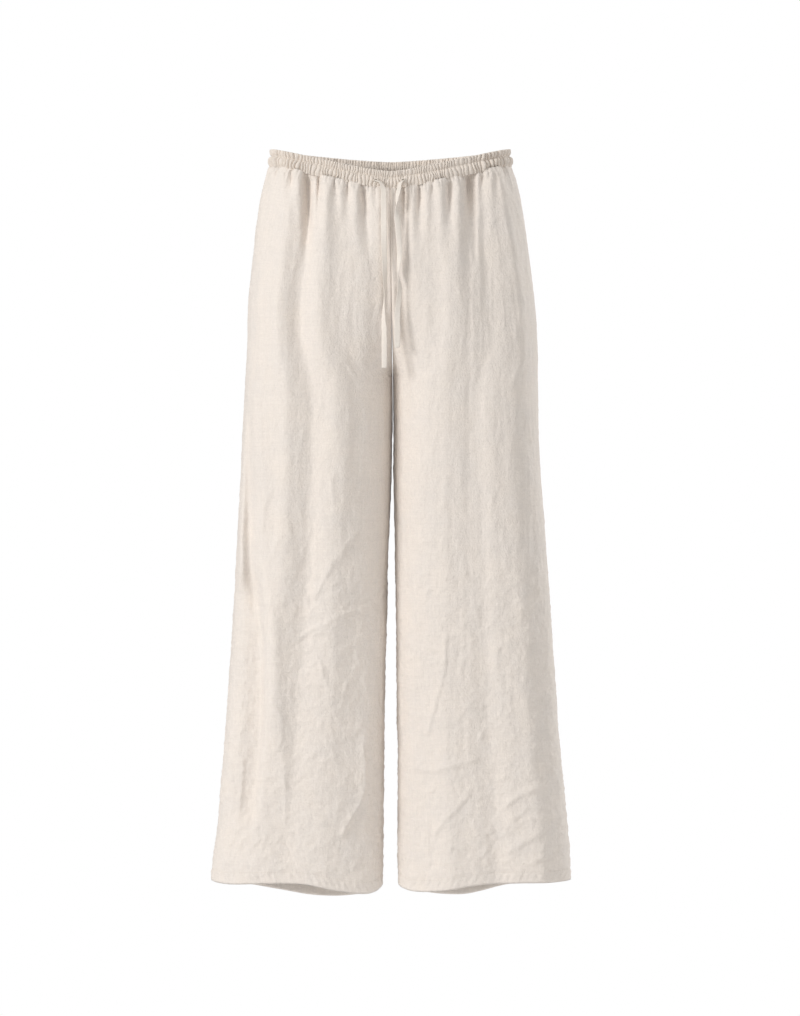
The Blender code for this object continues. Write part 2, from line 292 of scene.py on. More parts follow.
# Broad flutes: share across the panel at three heights, lift there, width as a share.
FLUTE_HEIGHTS = (-0.06, -0.55, -1.04)
FLUTES = {
    (Leg.RIGHT, Face.FRONT): (
        ((0.365, 0.365, 0.30), (0.006, 0.0058, 0.0005), 0.050),
        ((0.480, 0.480, 0.45), (-0.007, -0.0066, -0.0010), 0.050),
        ((0.600, 0.605, 0.62), (0.007, 0.0058, 0.0025), 0.070),
    ),
    (Leg.LEFT, Face.FRONT): (
        ((0.265, 0.265, 0.24), (0.0055, 0.0034, 0.005), 0.060),
        ((0.455, 0.455, 0.445), (-0.0065, -0.0046, -0.0075), 0.060),
        ((0.645, 0.655, 0.66), (0.0065, 0.0032, 0.006), 0.070),
    ),
    (Leg.RIGHT, Face.BACK): (
        ((0.22, 0.24, 0.22), (0.003, 0.005, 0.004), 0.060),
        ((0.40, 0.39, 0.40), (-0.004, -0.007, -0.006), 0.055),
        ((0.62, 0.58, 0.60), (0.003, 0.006, 0.006), 0.070),
    ),
    (Leg.LEFT, Face.BACK): (
        ((0.30, 0.31, 0.28), (0.004, 0.006, 0.004), 0.060),
        ((0.48, 0.50, 0.47), (-0.004, -0.007, -0.005), 0.055),
        ((0.68, 0.69, 0.66), (0.003, 0.005, 0.005), 0.060),
    ),
}

# Height of the hem's edge round a leg: 0 side seam, 0.5 inner seam, then over the back.
HEM_TURNS = (0.00, 0.08, 0.18, 0.27, 0.35, 0.42, 0.50, 0.60, 0.70, 0.80, 0.90, 1.00)
HEM_EDGES = {
    Leg.LEFT: (-1.0390, -1.0415, -1.0420, -1.0450, -1.0530, -1.0545,
               -1.0470, -1.0605, -1.0660, -1.0520, -1.0445, -1.0390),
    Leg.RIGHT: (-1.0390, -1.0440, -1.0425, -1.0435, -1.0535, -1.0580,
               -1.0480, -1.0640, -1.0680, -1.0575, -1.0470, -1.0390),
}

# Waistband profile: depth below its top edge, and how far it stands out there.
BAND_PROFILE = ((0.0000, 0.0010), (0.0045, 0.0004), (0.0092, -0.0012),
                (0.0132, 0.0008), (0.0185, 0.0006), (0.0235, -0.0014))

EYELET_RADIUS, EYELET_THREAD = 0.0027, 0.00078
TIP_STITCHES = 0.0080
TIP_LENGTH = 0.0095

# Free ends of the drawstring: x, y, z and width in metres, and turn in degrees.
RIGHT_TAPE = (
    (-0.0150, -0.0850, -0.0503, 0.0046, 30.0), (-0.0106, -0.0880, -0.0590, 0.0070, 10.0),
    (-0.0093, -0.0905, -0.0800, 0.0080, 0.0), (-0.0091, -0.0935, -0.1100, 0.0080, -12.0),
    (-0.0088, -0.0955, -0.1450, 0.0080, 10.0), (-0.0076, -0.0965, -0.1800, 0.0080, 35.0),
    (-0.0082, -0.0970, -0.2100, 0.0078, 80.0), (-0.0096, -0.0970, -0.2350, 0.0078, 120.0),
    (-0.0086, -0.0970, -0.2650, 0.0080, 160.0), (-0.0084, -0.0970, -0.3130, 0.0080, 175.0),
)
LEFT_TAPE = (
    (0.0152, -0.0850, -0.0508, 0.0046, -30.0), (0.0120, -0.0880, -0.0610, 0.0064, -25.0),
    (0.0092, -0.0905, -0.0790, 0.0074, -70.0), (0.0093, -0.0925, -0.0960, 0.0080, -150.0),
    (0.0117, -0.0945, -0.1250, 0.0080, -170.0), (0.0131, -0.0960, -0.1560, 0.0080, -200.0),
    (0.0108, -0.0970, -0.1780, 0.0078, -260.0), (0.0130, -0.0970, -0.1970, 0.0078, -310.0),
    (0.0102, -0.0970, -0.2350, 0.0080, -350.0), (0.0098, -0.0970, -0.2845, 0.0080, -360.0),
)

# Folds of each panel, a row each: x and z of its points, then its lift, its width, and how far
# it fades (tucks and flutes) or how much it leans (creases).
FOLD_ROWS = {
    (Leg.RIGHT, Face.FRONT): {
        tuck: """
-158 -15 -161 -37 -164 -47 -2.8 2.4 18; -158 -15 -163 -46 -170 -67 -3 5.4 35;
-137 -20 -138 -48 -138 -65 -4.3 2.4 28; -137 -20 -138 -64 -139 -96 -4.5 5.4 55;
-119 -24 -118 -94 -116 -152 -5.9 3.9 99; -119 -24 -117 -148 -113 -261 -6.2 8.8 192;
-101 -28 -101 -66 -101 -92 -4.8 2.4 45; -101 -28 -101 -91 -100 -142 -5 5.4 87;
-77 -34 -78 -61 -78 -76 -3 2.1 27; -77 -34 -78 -75 -78 -106 -3.2 4.7 51; -61 -37 -60 -65 -59 -82 -3 2.1 28;
-61 -37 -60 -81 -57 -113 -3.2 4.7 54; -39 -42 -35 -96 -32 -139 -5.5 3.9 73;
-39 -42 -32 -136 -23 -219 -5.8 8.8 141; -22 -45 -21 -66 -21 -77 -2.5 1.8 18;
-22 -45 -21 -76 -20 -96 -2.6 4.1 34; -127 -22 -128 -121 -129 -209 4.2 5.8 149;
-109 -26 -108 -110 -105 -183 3.6 5.8 123; -89 -31 -90 -123 -91 -203 3.6 6.9 136;
-70 -35 -69 -88 -68 -130 2.5 4.6 71; -50 -40 -48 -109 -44 -167 3.4 6.9 99;
-15 -46 -14 -119 -13 -182 1.7 6.9 106; -150 -17 -154 -108 -160 -189 3.4 5.8 137;
-173 -12 -175 -49 -178 -74 -1.9 2.4 43; -173 -12 -177 -73 -184 -122 -2 5.4 84;
-168 -13 -172 -35 -175 -45 -2.4 2.2 17; -147 -17 -149 -38 -150 -48 -2 2 15;
-128 -22 -128 -42 -127 -51 -2.2 2 14; -111 -26 -110 -50 -109 -62 -2.4 2 20;
-87 -32 -87 -52 -86 -62 -2.4 2.2 15; -70 -35 -69 -56 -68 -65 -2 2 14; -51 -39 -50 -61 -48 -70 -2.4 2.2 16;
-30 -43 -29 -64 -27 -73 -2.2 2 15; -10 -46 -10 -65 -10 -73 -1.8 1.8 13""",
        flute: """
-151 -97 -156 -260 -170 -429 1.6 11 70; -181 -133 -187 -302 -195 -457 1.4 9 70;
-133 -175 -133 -387 -139 -584 -1.6 11 80; -96 -161 -102 -320 -99 -528 1.2 9 80;
-54 -147 -51 -330 -54 -499 -1 10 70; -26 -175 -23 -387 -26 -641 -1.4 9 80; -9 -217 -6 -387 -7 -641 1.2 6 70;
-211 -365 -211 -471 -211 -584 -213 -641 13 7 45; -178 -584 -171 -641 -167 -711 -165 -782 -161 -880 3 10 60;
-180 -415 -175 -584 -163 -697 -154 -824 -150 -937 3 11 45; -6 -76 -5 -260 -3.5 4.5 40;
-20 -855 -22 -909 -27 -979 -2.4 7 30; -67 -866 -70 -923 -85 -965 1.4 9 30""",
        crease: """
-208 -863 -212 -920 -221 -988 1.3 4 0.3; -181 -372 -181 -499 -180 -617 0.8 2.2 0.2;
-149 -876 -149 -969 1 2.6 0.2; -151 -453 -161 -475 -174 -499 -180 -546 1.3 4 0.3;
-109 -535 -119 -563 -127 -588 -137 -609 1 3.5 0.3; -43 -542 -68 -573 -88 -602 -109 -643 2 4.5 0.5;
-19 -648 -50 -656 -71 -662 -89 -672 -109 -680 -137 -704 1.4 4 -0.3; -109 -691 -89 -684 -74 -690 1 3.2 -0.3;
-142 -708 -123 -697 -109 -687 -1.1 3 0; -157 -573 -146 -569 -134 -578 -142 -593 1 3.2 0;
-156 -649 -144 -643 -133 -653 -143 -666 1 3.2 0; -123 -869 -109 -859 -95 -852 1.1 3.2 -0.4;
-120 -885 -103 -871 0.9 2.8 -0.4; -102 -873 -88 -866 -74 -859 1 3 -0.4;
-68 -827 -54 -823 -43 -824 -26 -835 1.3 3.6 -0.4; -39 -841 -36 -876 -40 -923 -54 -947 -71 -979 2.6 5 0.55;
-64 -1010 -50 -1002 -34 -1007 1.4 4.5 -0.2; -127 -931 -71 -928 -12 -931 -0.45 1.8 0;
-173 -993 -163 -1003 -153 -1016 1.2 4 0.2; -150 -982 -143 -996 -139 -1013 -1.2 3.2 0;
-237 -889 -228 -894 -218 -892 0.8 2.6 -0.3; -239 -906 -229 -910 -218 -904 0.8 2.6 -0.3;
-239 -920 -228 -923 0.7 2.4 -0.3; -219 -993 -202 -976 -181 -957 1.2 3.6 -0.4;
-212 -1007 -192 -988 -170 -969 1 3.2 -0.4; -225 -976 -208 -961 -195 -948 0.9 3 -0.4;
-173 -1033 -175 -1019 0.8 2.6 0; -161 -1036 -163 -1020 -0.8 2.2 0; -133 -1036 -136 -1020 0.8 2.6 0;
-105 -718 -96 -736 -101 -759 0.9 3.4 0.3; -71 -711 -54 -705 -34 -714 1 3.2 -0.3;
-127 -768 -108 -759 -85 -768 -68 -782 1.1 3.6 -0.3; -54 -748 -65 -768 -70 -793 1 3.2 0.3;
-173 -782 -157 -799 -150 -824 1 3.4 0.2; -133 -804 -119 -820 -96 -825 0.9 3 -0.3;
-127 -940 -105 -954 -85 -959 1.1 3.6 -0.3; -139 -959 -122 -979 -102 -988 1 3.4 -0.3;
-119 -1002 -102 -990 -79 -988 1.1 3.4 -0.3; -198 -831 -187 -849 -181 -872 1 3.2 0.2;
-181 -897 -164 -889 -150 -894 0.9 3 -0.3; -96 -612 -77 -629 -54 -635 0.9 3.2 -0.2;
-139 -499 -127 -516 -123 -539 0.8 3 0.2; -77 -457 -84 -480 -79 -502 0.8 3 0.2;
-54 -581 -39 -593 -23 -591 0.8 2.8 -0.3""",
    },
    (Leg.LEFT, Face.FRONT): {
        tuck: """
9 -46 9 -65 9 -73 -1.8 1.8 13; 31 -43 31 -65 32 -76 -2.2 2 17; 50 -39 51 -61 52 -70 -2.2 2 16;
72 -35 72 -56 72 -65 -2.2 2 15; 97 -29 97 -50 97 -59 -2.4 2.2 15; 121 -24 120 -51 120 -68 -3 2.2 26;
138 -20 138 -41 138 -51 -2.2 2 16; 170 -12 173 -37 176 -51 -2.2 2.2 22; 18 -45 20 -100 21 -143 -4.8 3 73;
18 -45 21 -140 26 -224 -5 6.8 142; 42 -41 41 -79 40 -106 -4 3 46; 42 -41 40 -105 38 -157 -4.2 6.8 89;
60 -37 60 -59 60 -70 -2.7 2.1 18; 60 -37 60 -69 60 -89 -2.8 4.7 34; 82 -33 83 -83 83 -122 -6.3 4.2 66;
82 -33 83 -119 85 -195 -6.6 9.5 128; 112 -26 111 -84 110 -130 -6.5 4.8 79;
112 -26 110 -127 107 -218 -6.8 10.8 154; 129 -22 129 -51 129 -70 -3.2 2.1 31;
129 -22 129 -69 127 -104 -3.4 4.7 61; 158 -15 159 -37 160 -47 -2.5 1.8 18;
158 -15 160 -46 163 -67 -2.6 4.1 34; 145 -18 147 -47 150 -64 -1.5 1.8 30;
145 -18 149 -63 156 -97 -1.6 4.1 58; 32 -43 33 -119 34 -184 2.5 5.8 110; 52 -39 52 -101 52 -151 2.5 4.6 85;
70 -35 71 -100 72 -153 2.8 5.8 91; 98 -29 98 -122 98 -204 4.2 8 139; 125 -23 127 -141 129 -248 5 5.2 182;
141 -19 142 -86 144 -141 2.5 5.8 94""",
        flute: """
12 -76 12 -260 -3.5 4.5 40; 18 -161 22 -401 21 -697 -1.4 6 70; 48 -147 48 -358 42 -641 1.4 10 80;
80 -147 80 -387 79 -697 1.2 7 80; 111 -133 111 -401 110 -697 -1.3 7 80; 132 -118 141 -401 149 -782 1.1 9 80;
175 -161 180 -387 186 -641 -1.2 9 80""",
        crease: """
155 -188 165 -185 186 -186 0.9 2.8 -0.4; 165 -158 175 -172 186 -186 0.9 2.8 0.3;
144 -175 144 -250 0.7 2.2 0.2; 204 -298 190 -300 179 -316 169 -340 1.4 3.6 0.4;
180 -440 190 -453 201 -468 0.9 2.8 0.2; 201 -439 190 -453 177 -471 0.9 2.8 0.2;
194 -511 194 -549 194 -584 0.9 3 0; 187 -516 187 -581 -0.9 2.4 0; 201 -516 203 -581 -0.9 2.4 0;
201 -588 215 -612 0.9 2.6 0.2; 215 -588 203 -612 0.9 2.6 0.2; 199 -600 220 -601 0.8 2.4 0;
193 -615 200 -624 208 -619 -1.1 2.8 0; 215 -619 208 -638 194 -650 176 -657 1.6 3.8 0.4;
183 -635 196 -636 -1.2 3.4 0; 197 -670 196 -690 194 -708 1.1 3 0.3; 81 -490 70 -521 1 3 0.3;
77 -546 73 -570 0.9 2.8 0.3; 49 -735 60 -731 80 -728 96 -729 1.2 3.2 -0.4;
80 -687 77 -742 67 -782 53 -834 1.6 4.5 0.5; 38 -799 49 -813 0.8 2.4 0; 46 -793 60 -810 0.8 2.4 0;
38 -818 52 -834 0.8 2.4 0; 50 -815 62 -831 0.7 2.2 0; 25 -878 38 -880 60 -883 88 -876 127 -866 2 4.6 -0.45;
115 -911 101 -928 84 -947 59 -979 1.8 4.6 0.4; 239 -883 215 -904 186 -916 155 -940 1.8 4.6 0.4;
221 -962 194 -982 165 -1000 2 4.6 0.45; 244 -937 218 -948 190 -951 1.5 4 -0.4; 55 -941 55 -1047 0.7 2 0.2;
234 -988 213 -1005 183 -1019 1.6 4.2 0.4; 247 -1005 228 -1016 208 -1033 1.4 3.8 0.4;
200 -931 182 -945 159 -971 1.1 3.8 0.3; 144 -988 127 -1005 112 -1024 1.1 3.8 0.3;
112 -959 132 -971 152 -968 1 3.4 -0.3; 74 -996 93 -990 112 -996 1 3.4 -0.3;
127 -889 146 -897 169 -889 1.2 3.6 -0.4; 218 -831 203 -849 183 -855 1.2 3.6 -0.3;
234 -782 215 -799 197 -804 1.1 3.4 -0.3; 155 -804 138 -818 124 -841 1 3.4 0.3;
96 -782 112 -793 135 -790 1 3.4 -0.3; 112 -714 101 -736 104 -759 0.8 3 0.3;
162 -697 151 -718 153 -742 0.9 3.2 0.3; 59 -618 50 -641 55 -666 0.8 3 0.3;
172 -556 162 -578 165 -601 0.9 3 0.3; 132 -635 124 -657 127 -683 0.8 3 0.3;
31 -697 42 -711 43 -731 0.8 2.8 0.2; 183 -358 175 -384 179 -409 0.8 3 0.3""",
    },
    (Leg.RIGHT, Face.BACK): {
        tuck: """
-143 -38 -146 -60 -148 -84 -3.6 4.5 30; -128 -40 -128 -75 -126 -120 -5.2 5 55;
-108 -42 -110 -62 -112 -88 -3 3.6 30; -92 -44 -90 -84 -86 -140 -5.6 5.4 60;
-71 -45 -72 -62 -74 -80 -2.8 3.4 25; -55 -45 -58 -88 -62 -150 -6 5.6 65; -33 -45 -32 -66 -31 -92 -3.4 4 30;
-14 -46 -15 -80 -15 -126 -4.6 4.6 50; -118 -40 -119 -70 -120 -104 2.6 5 45;
-82 -44 -81 -78 -79 -122 2.4 5.4 50; -44 -45 -45 -78 -46 -118 2.6 6 50; -23 -46 -23 -72 -24 -104 2 5 40""",
        flute: """
-150 -130 -158 -300 -172 -470 1.8 12 80; -122 -150 -126 -330 -130 -520 -1.8 12 90;
-76 -160 -74 -340 -72 -560 1.6 12 90; -34 -150 -32 -320 -30 -520 -1.8 11 90;
-186 -420 -196 -600 -206 -820 -3 9 70; -150 -560 -160 -740 -172 -930 2.4 10 70""",
        crease: """
-168 -300 -158 -318 -146 -330 1.1 3.4 -0.3; -92 -352 -104 -372 -108 -400 1 3.4 0.3;
-40 -436 -52 -456 -66 -470 1.2 3.6 0.3; -30 -520 -56 -548 -84 -566 -108 -596 2 4.6 0.4;
-176 -512 -160 -530 -146 -556 1.3 3.8 0.3; -148 -612 -122 -622 -92 -618 -64 -628 1.6 4.2 -0.4;
-60 -664 -74 -684 -80 -712 1.1 3.6 0.3; -196 -652 -184 -676 -180 -706 1.2 3.6 0.3;
-128 -700 -108 -712 -84 -708 1.1 3.6 -0.3; -34 -716 -42 -760 -60 -796 -84 -820 2.2 5 0.5;
-206 -766 -180 -780 -150 -776 1.3 3.8 -0.4; -132 -792 -116 -812 -110 -838 1.1 3.6 0.3;
-226 -836 -204 -848 -186 -868 1.4 4 -0.4; -90 -858 -70 -870 -48 -866 1.2 3.6 -0.3;
-168 -880 -148 -902 -140 -930 1.5 4.2 0.4; -122 -906 -98 -920 -76 -944 1.6 4.4 -0.3;
-214 -912 -196 -936 -190 -962 1.2 3.8 0.3; -52 -930 -40 -956 -38 -988 1.3 4 0.3;
-170 -968 -142 -980 -112 -976 1.3 3.8 -0.4; -98 -990 -84 -1010 -80 -1034 1.1 3.4 0.2;
-236 -980 -214 -1000 -200 -1024 1.3 3.8 0.3""",
    },
    (Leg.LEFT, Face.BACK): {
        tuck: """
146 -38 148 -56 151 -78 -3.2 4.2 26; 132 -40 134 -80 138 -132 -5.6 5.2 60;
113 -42 112 -64 110 -94 -3.2 3.8 34; 97 -44 99 -80 102 -124 -4.8 5 52; 78 -45 76 -92 72 -160 -6.2 5.6 70;
58 -45 59 -62 60 -84 -3 3.6 26; 41 -45 42 -78 44 -118 -4.6 4.8 48; 22 -46 21 -68 20 -98 -3.4 4 34;
122 -40 123 -74 125 -116 2.6 5.4 48; 87 -44 87 -76 88 -118 2.4 5.2 48; 67 -45 66 -82 64 -130 2.6 5.8 54;
31 -46 31 -74 30 -108 2.2 5.4 42""",
        flute: """
154 -120 162 -290 176 -450 1.6 12 80; 118 -160 122 -350 128 -540 -1.8 13 90;
84 -150 84 -330 82 -540 1.8 11 90; 46 -160 44 -340 40 -560 -1.6 12 90; 198 -460 208 -640 216 -850 -2.8 9 70;
160 -600 168 -760 180 -940 2.2 10 70""",
        crease: """
172 -270 160 -288 150 -312 1 3.4 0.3; 58 -330 70 -348 88 -352 1 3.2 -0.3;
118 -402 106 -424 102 -452 1.2 3.6 0.3; 188 -470 170 -488 146 -494 1.4 3.8 -0.4;
36 -500 58 -516 84 -512 1.3 3.6 -0.3; 150 -544 128 -572 98 -590 74 -620 2 4.6 0.4;
204 -596 190 -620 188 -652 1.2 3.6 0.3; 30 -610 44 -640 48 -676 1.2 3.6 0.2;
84 -664 112 -676 144 -670 166 -682 1.6 4.2 -0.4; 218 -706 200 -722 178 -726 1.2 3.6 -0.3;
62 -722 76 -744 80 -772 1.1 3.6 0.3; 140 -740 124 -764 120 -796 1.3 3.8 0.3;
232 -800 208 -820 178 -830 150 -852 2 4.8 0.4; 34 -800 48 -830 50 -866 1.5 4.2 0.3;
82 -822 104 -834 126 -830 1.2 3.6 -0.3; 96 -884 118 -900 146 -898 1.4 4 -0.4;
208 -884 192 -906 188 -934 1.3 3.8 0.3; 44 -916 62 -936 68 -962 1.3 4 0.3;
238 -940 214 -958 186 -966 1.4 4 -0.4; 152 -950 134 -972 130 -1000 1.3 3.8 0.3;
78 -988 100 -1000 122 -996 1.2 3.6 -0.3; 222 -1000 206 -1016 196 -1036 1.1 3.4 0.3""",
    },
}
HOLLOWS = {
    (Leg.RIGHT, Face.FRONT): (
        Fold(((-201, -355), (-199, -429), (-198, -528), (-195, -605), (-191, -676)), -7.0, 8, 6, 60, 60),
        Fold(((-192, -584), (-188, -641), (-185, -697), (-184, -768), (-185, -831), (-191, -902),
              (-199, -979)), -16.0, 25, 6.5, 60, 60),
    ),
}


def read_folds(kinds: dict[Callable[..., Fold], str]) -> tuple[Fold, ...]:
    """Folds from their rows, given by kind."""
    folds = []
    for kind, rows in kinds.items():
        for row in rows.split(";"):
            *route, lift, width, last = map(float, row.split())
            folds.append(kind(tuple(zip(route[::2], route[1::2])), lift, width, last))
    return tuple(folds)


FOLDS = {place: read_folds(kinds) + HOLLOWS.get(place, ()) for place, kinds in FOLD_ROWS.items()}


class Form:
    """The garment's form: its sections, the dips of its waist and its hems."""

    def __init__(self) -> None:
        self.heights = np.linspace(*FORM_ENDS, FORM_ROWS)
        self.tables = {(leg, face): self._tabulate(leg, face) for leg in Leg for face in Face}

    def measure(self, name: str, height: Array) -> Array:
        """A named measure of the section at some heights."""
        return smooth_read(SECTIONS["height"], SECTIONS[name], height)

    def _tabulate(self, leg: Leg, face: Face) -> Array:
        """Points, outward directions and widths of half sections, evenly spaced."""
        shares = np.linspace(0.0, 1.0, FORM_COLUMNS)
        arcs = []
        for height in self.heights:
            outer = self.measure("side_" + leg.value, height) - leg.sign * self.measure("middle", height)
            inner = self.measure("inner", height)
            depth = self.measure(face.value, height)
            centre, reach = 0.5 * (outer + inner), 0.5 * (outer - inner)
            cut = min(abs(centre / reach), 1.0) ** (SQUARENESS / 2.0)
            turn = np.linspace(0.0, math.acos(-cut) if inner < 0.0 else math.pi, ARC_STEPS)
            x = centre + reach * signed_power(np.cos(turn), 2.0 / SQUARENESS)
            y = depth * np.abs(np.sin(turn)) ** (2.0 / SQUARENESS)
            arcs.append((lengths_along(np.stack([x, y], axis=1)), x, y))
        widths = np.array([run[-1] for run, _, _ in arcs])
        kernel = bump(np.arange(-30, 31), 0.0, 14.0)
        even = np.convolve(np.pad(widths, 30, mode="edge"), kernel / kernel.sum(), mode="valid")
        rows = []
        for (run, x, y), full, smooth in zip(arcs, widths, even):
            at = shares * smooth + (full - smooth) * ease((shares - 0.55) / 0.45)
            px, py = np.interp(at, run, x), np.interp(at, run, y)
            dx, dy = np.gradient(px), np.gradient(py)
            size = np.hypot(dx, dy)
            rows.append(np.stack([px, face.side * py, dy / size, -face.side * dx / size,
                                  np.full_like(px, smooth)]))
        return np.array(rows)

    def read(self, leg: Leg, face: Face, height: Array, share: Array) -> Array:
        """Read a half section at places given by height and share across.

        Args:
            leg: Which leg.
            face: Front or back.
            height: Heights in metres.
            share: Shares across, from the side seam (0) to the inner seam (1).

        Returns:
            Rows of x, y, outward x, outward y and the width of the panel there.
        """
        table = self.tables[leg, face]
        step = self.heights[1] - self.heights[0]
        row = np.clip((height - self.heights[0]) / step, 0.0, len(self.heights) - 1.001)
        column = np.clip(share, 0.0, 1.0) * (table.shape[2] - 1)
        r, c = row.astype(int), np.minimum(column.astype(int), table.shape[2] - 2)
        fr, fc = (row - r)[:, None], (column - c)[:, None]
        low, high = (table[n, :, c] * (1.0 - fc) + table[n, :, c + 1] * fc for n in (r, r + 1))
        return (low * (1.0 - fr) + high * fr).T

    def dip(self, leg: Leg, face: Face, share: Array) -> Array:
        """How far the waist's edge hangs below its height at the side seams."""
        level = np.full_like(share, -BAND_HEIGHT)
        aside = np.abs(self.read(leg, face, level, share)[0] / self.measure("side_" + leg.value, level))
        return DIPS[face] * (1.0 - np.minimum(aside, 1.0) ** DIP_POINT) ** DIP_END

    def hem(self, leg: Leg, face: Face, share: Array) -> Array:
        """Height of the hem's edge."""
        turn = 0.5 * share if face is Face.FRONT else 1.0 - 0.5 * share
        return smooth_read(HEM_TURNS, HEM_EDGES[leg], turn)

    def flutes(self, leg: Leg, face: Face, height: Array, share: Array) -> Array:
        """Lift of the broad flutes, in metres."""
        lift = np.zeros_like(share)
        for centres, lifts, width in FLUTES[leg, face]:
            centre = smooth_read(FLUTE_HEIGHTS, centres, height)
            lift += smooth_read(FLUTE_HEIGHTS, lifts, height) * bump(share, centre, width)
        return lift * ease(np.minimum(share, 1.0 - share) / 0.10)


class Pleats:
    """Uneven pleats round one half of the waist, from its +X seam to its -X one."""

    def __init__(self, seed: int, mean: float) -> None:
        draw = random.Random(seed)
        edges = [0.0]
        while edges[-1] < GATHERED:
            aside = abs(edges[-1] / GATHERED - 0.5)
            spread = 0.68 if aside < 0.05 else 0.95 + 2.2 * max(aside - 0.18, 0.0)
            edges.append(edges[-1] + mean * draw.uniform(0.62, 1.40) * spread)
        self.edges = np.array(edges) / edges[-1]
        self.rise = np.array([draw.uniform(0.65, 1.15) for _ in edges])

    def puff(self, across: Array) -> Array:
        """Rounded puffs with sharp valleys, from 0 in a valley to about 1."""
        across = np.clip(across, 0.0, 0.99999)
        cell = np.searchsorted(self.edges, across, side="right") - 1
        cell = np.clip(cell, 0, len(self.edges) - 2)
        start, end = self.edges[cell], self.edges[cell + 1]
        phase = (across - start) / (end - start)
        return self.rise[cell] * np.sin(math.pi * phase) ** 0.5


CHANNEL_PLEATS = {Face.FRONT: Pleats(11, 0.0047), Face.BACK: Pleats(23, 0.0046)}
HEADING_PLEATS = {Face.FRONT: Pleats(37, 0.0042), Face.BACK: Pleats(41, 0.0043)}


def crumple(points: Array, size: float, seed: float) -> Array:
    """Sharp-edged noise, like pressed cloth: ridges at 1, flats near 0."""
    return 1.0 - np.minimum(np.abs(cloth_noise(points, size, seed)) / 0.34, 1.0)


def small_creases(seed: int, count: int, sign: float) -> tuple[Fold, ...]:
    """Scattered small creases, upright at the hips and slanting lower down."""
    draw = random.Random(seed)
    folds = []
    for _ in range(count):
        z = -1030.0 + 930.0 * draw.random() ** 1.5
        x = sign * draw.uniform(12.0, 190.0 + 0.055 * abs(z))
        low = min(max((-z - 300.0) / 500.0, 0.0), 1.0)
        upright = math.radians(draw.gauss(90.0, 12.0 + 45.0 * low))
        half = draw.uniform(9.0, 26.0) * (1.25 - 0.45 * low)
        dx, dz = half * math.cos(upright), half * math.sin(upright)
        bend = draw.uniform(-0.22, 0.22)
        line = ((x - dx, z + dz), (x + bend * dz, z + bend * dx), (x + dx, z - dz))
        lift = draw.choice((1.0, 1.0, -0.8)) * draw.uniform(0.35, 0.8 + 0.4 * low)
        folds.append(crease(line, lift, draw.uniform(2.2, 3.8), draw.uniform(-0.4, 0.4)))
    return tuple(folds)


def cloth_grid(name: str, points: Array, uvs: Array, wall: float, drop: Array | None = None) -> bpy.types.Object:
    """A sheet through rows of points, thickened to a thin shell.

    Args:
        name: Name of the piece.
        points: Points, rows by columns by 3, in metres.
        uvs: Cloth coordinates in metres, rows by columns by 2.
        wall: Thickness of the cloth.
        drop: Rows by columns, true where a point is cut away.

    Returns:
        The finished piece, riding the garment's one body.
    """
    rows, columns = points.shape[:2]
    bpy.ops.mesh.primitive_grid_add(x_subdivisions=columns - 1, y_subdivisions=rows - 1)
    piece = bpy.context.object
    mesh = piece.data
    piece.name = mesh.name = name
    if len(mesh.vertices) != rows * columns:
        raise ValueError(f"{name}: the grid has {len(mesh.vertices)} points")
    mesh.vertices.foreach_set("co", points.reshape(-1).astype(np.float32))
    corners = np.zeros(len(mesh.loops), dtype=np.int32)
    mesh.loops.foreach_get("vertex_index", corners)
    mesh.uv_layers[0].name = "cloth"
    mesh.uv_layers[0].data.foreach_set("uv", uvs.reshape(-1, 2)[corners].reshape(-1).astype(np.float32))
    mesh.update()
    if drop is not None and drop.any():
        flesh = bmesh.new()
        flesh.from_mesh(mesh)
        flesh.verts.ensure_lookup_table()
        cut = [flesh.verts[i] for i in np.flatnonzero(drop.reshape(-1))]
        bmesh.ops.delete(flesh, geom=cut, context="VERTS")
        flesh.to_mesh(mesh)
        flesh.free()
    shell = piece.modifiers.new("wall", "SOLIDIFY")
    shell.thickness = wall
    shell.offset = 0.0
    bpy.ops.object.modifier_apply(modifier=shell.name)
    bpy.ops.object.shade_smooth()
    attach(piece, BODY)
    LOG.info("%s: %d faces", name, len(piece.data.polygons))
    return piece


# Crumples: lift at the hips, how much more lower down, stretch, size of a bump and seed.
CRUMPLES = (
    (0.60, -0.30, (1.0, 1.0, 0.16), 0.014, 3.1),
    (0.38, 0.42, (0.8, 0.8, 1.2), 0.017, 7.7),
    (0.28, 0.34, (1.0, 1.0, 1.0), 0.0080, 1.3),
    (0.13, 0.24, (1.0, 1.0, 1.0), 0.0046, 4.3),
)


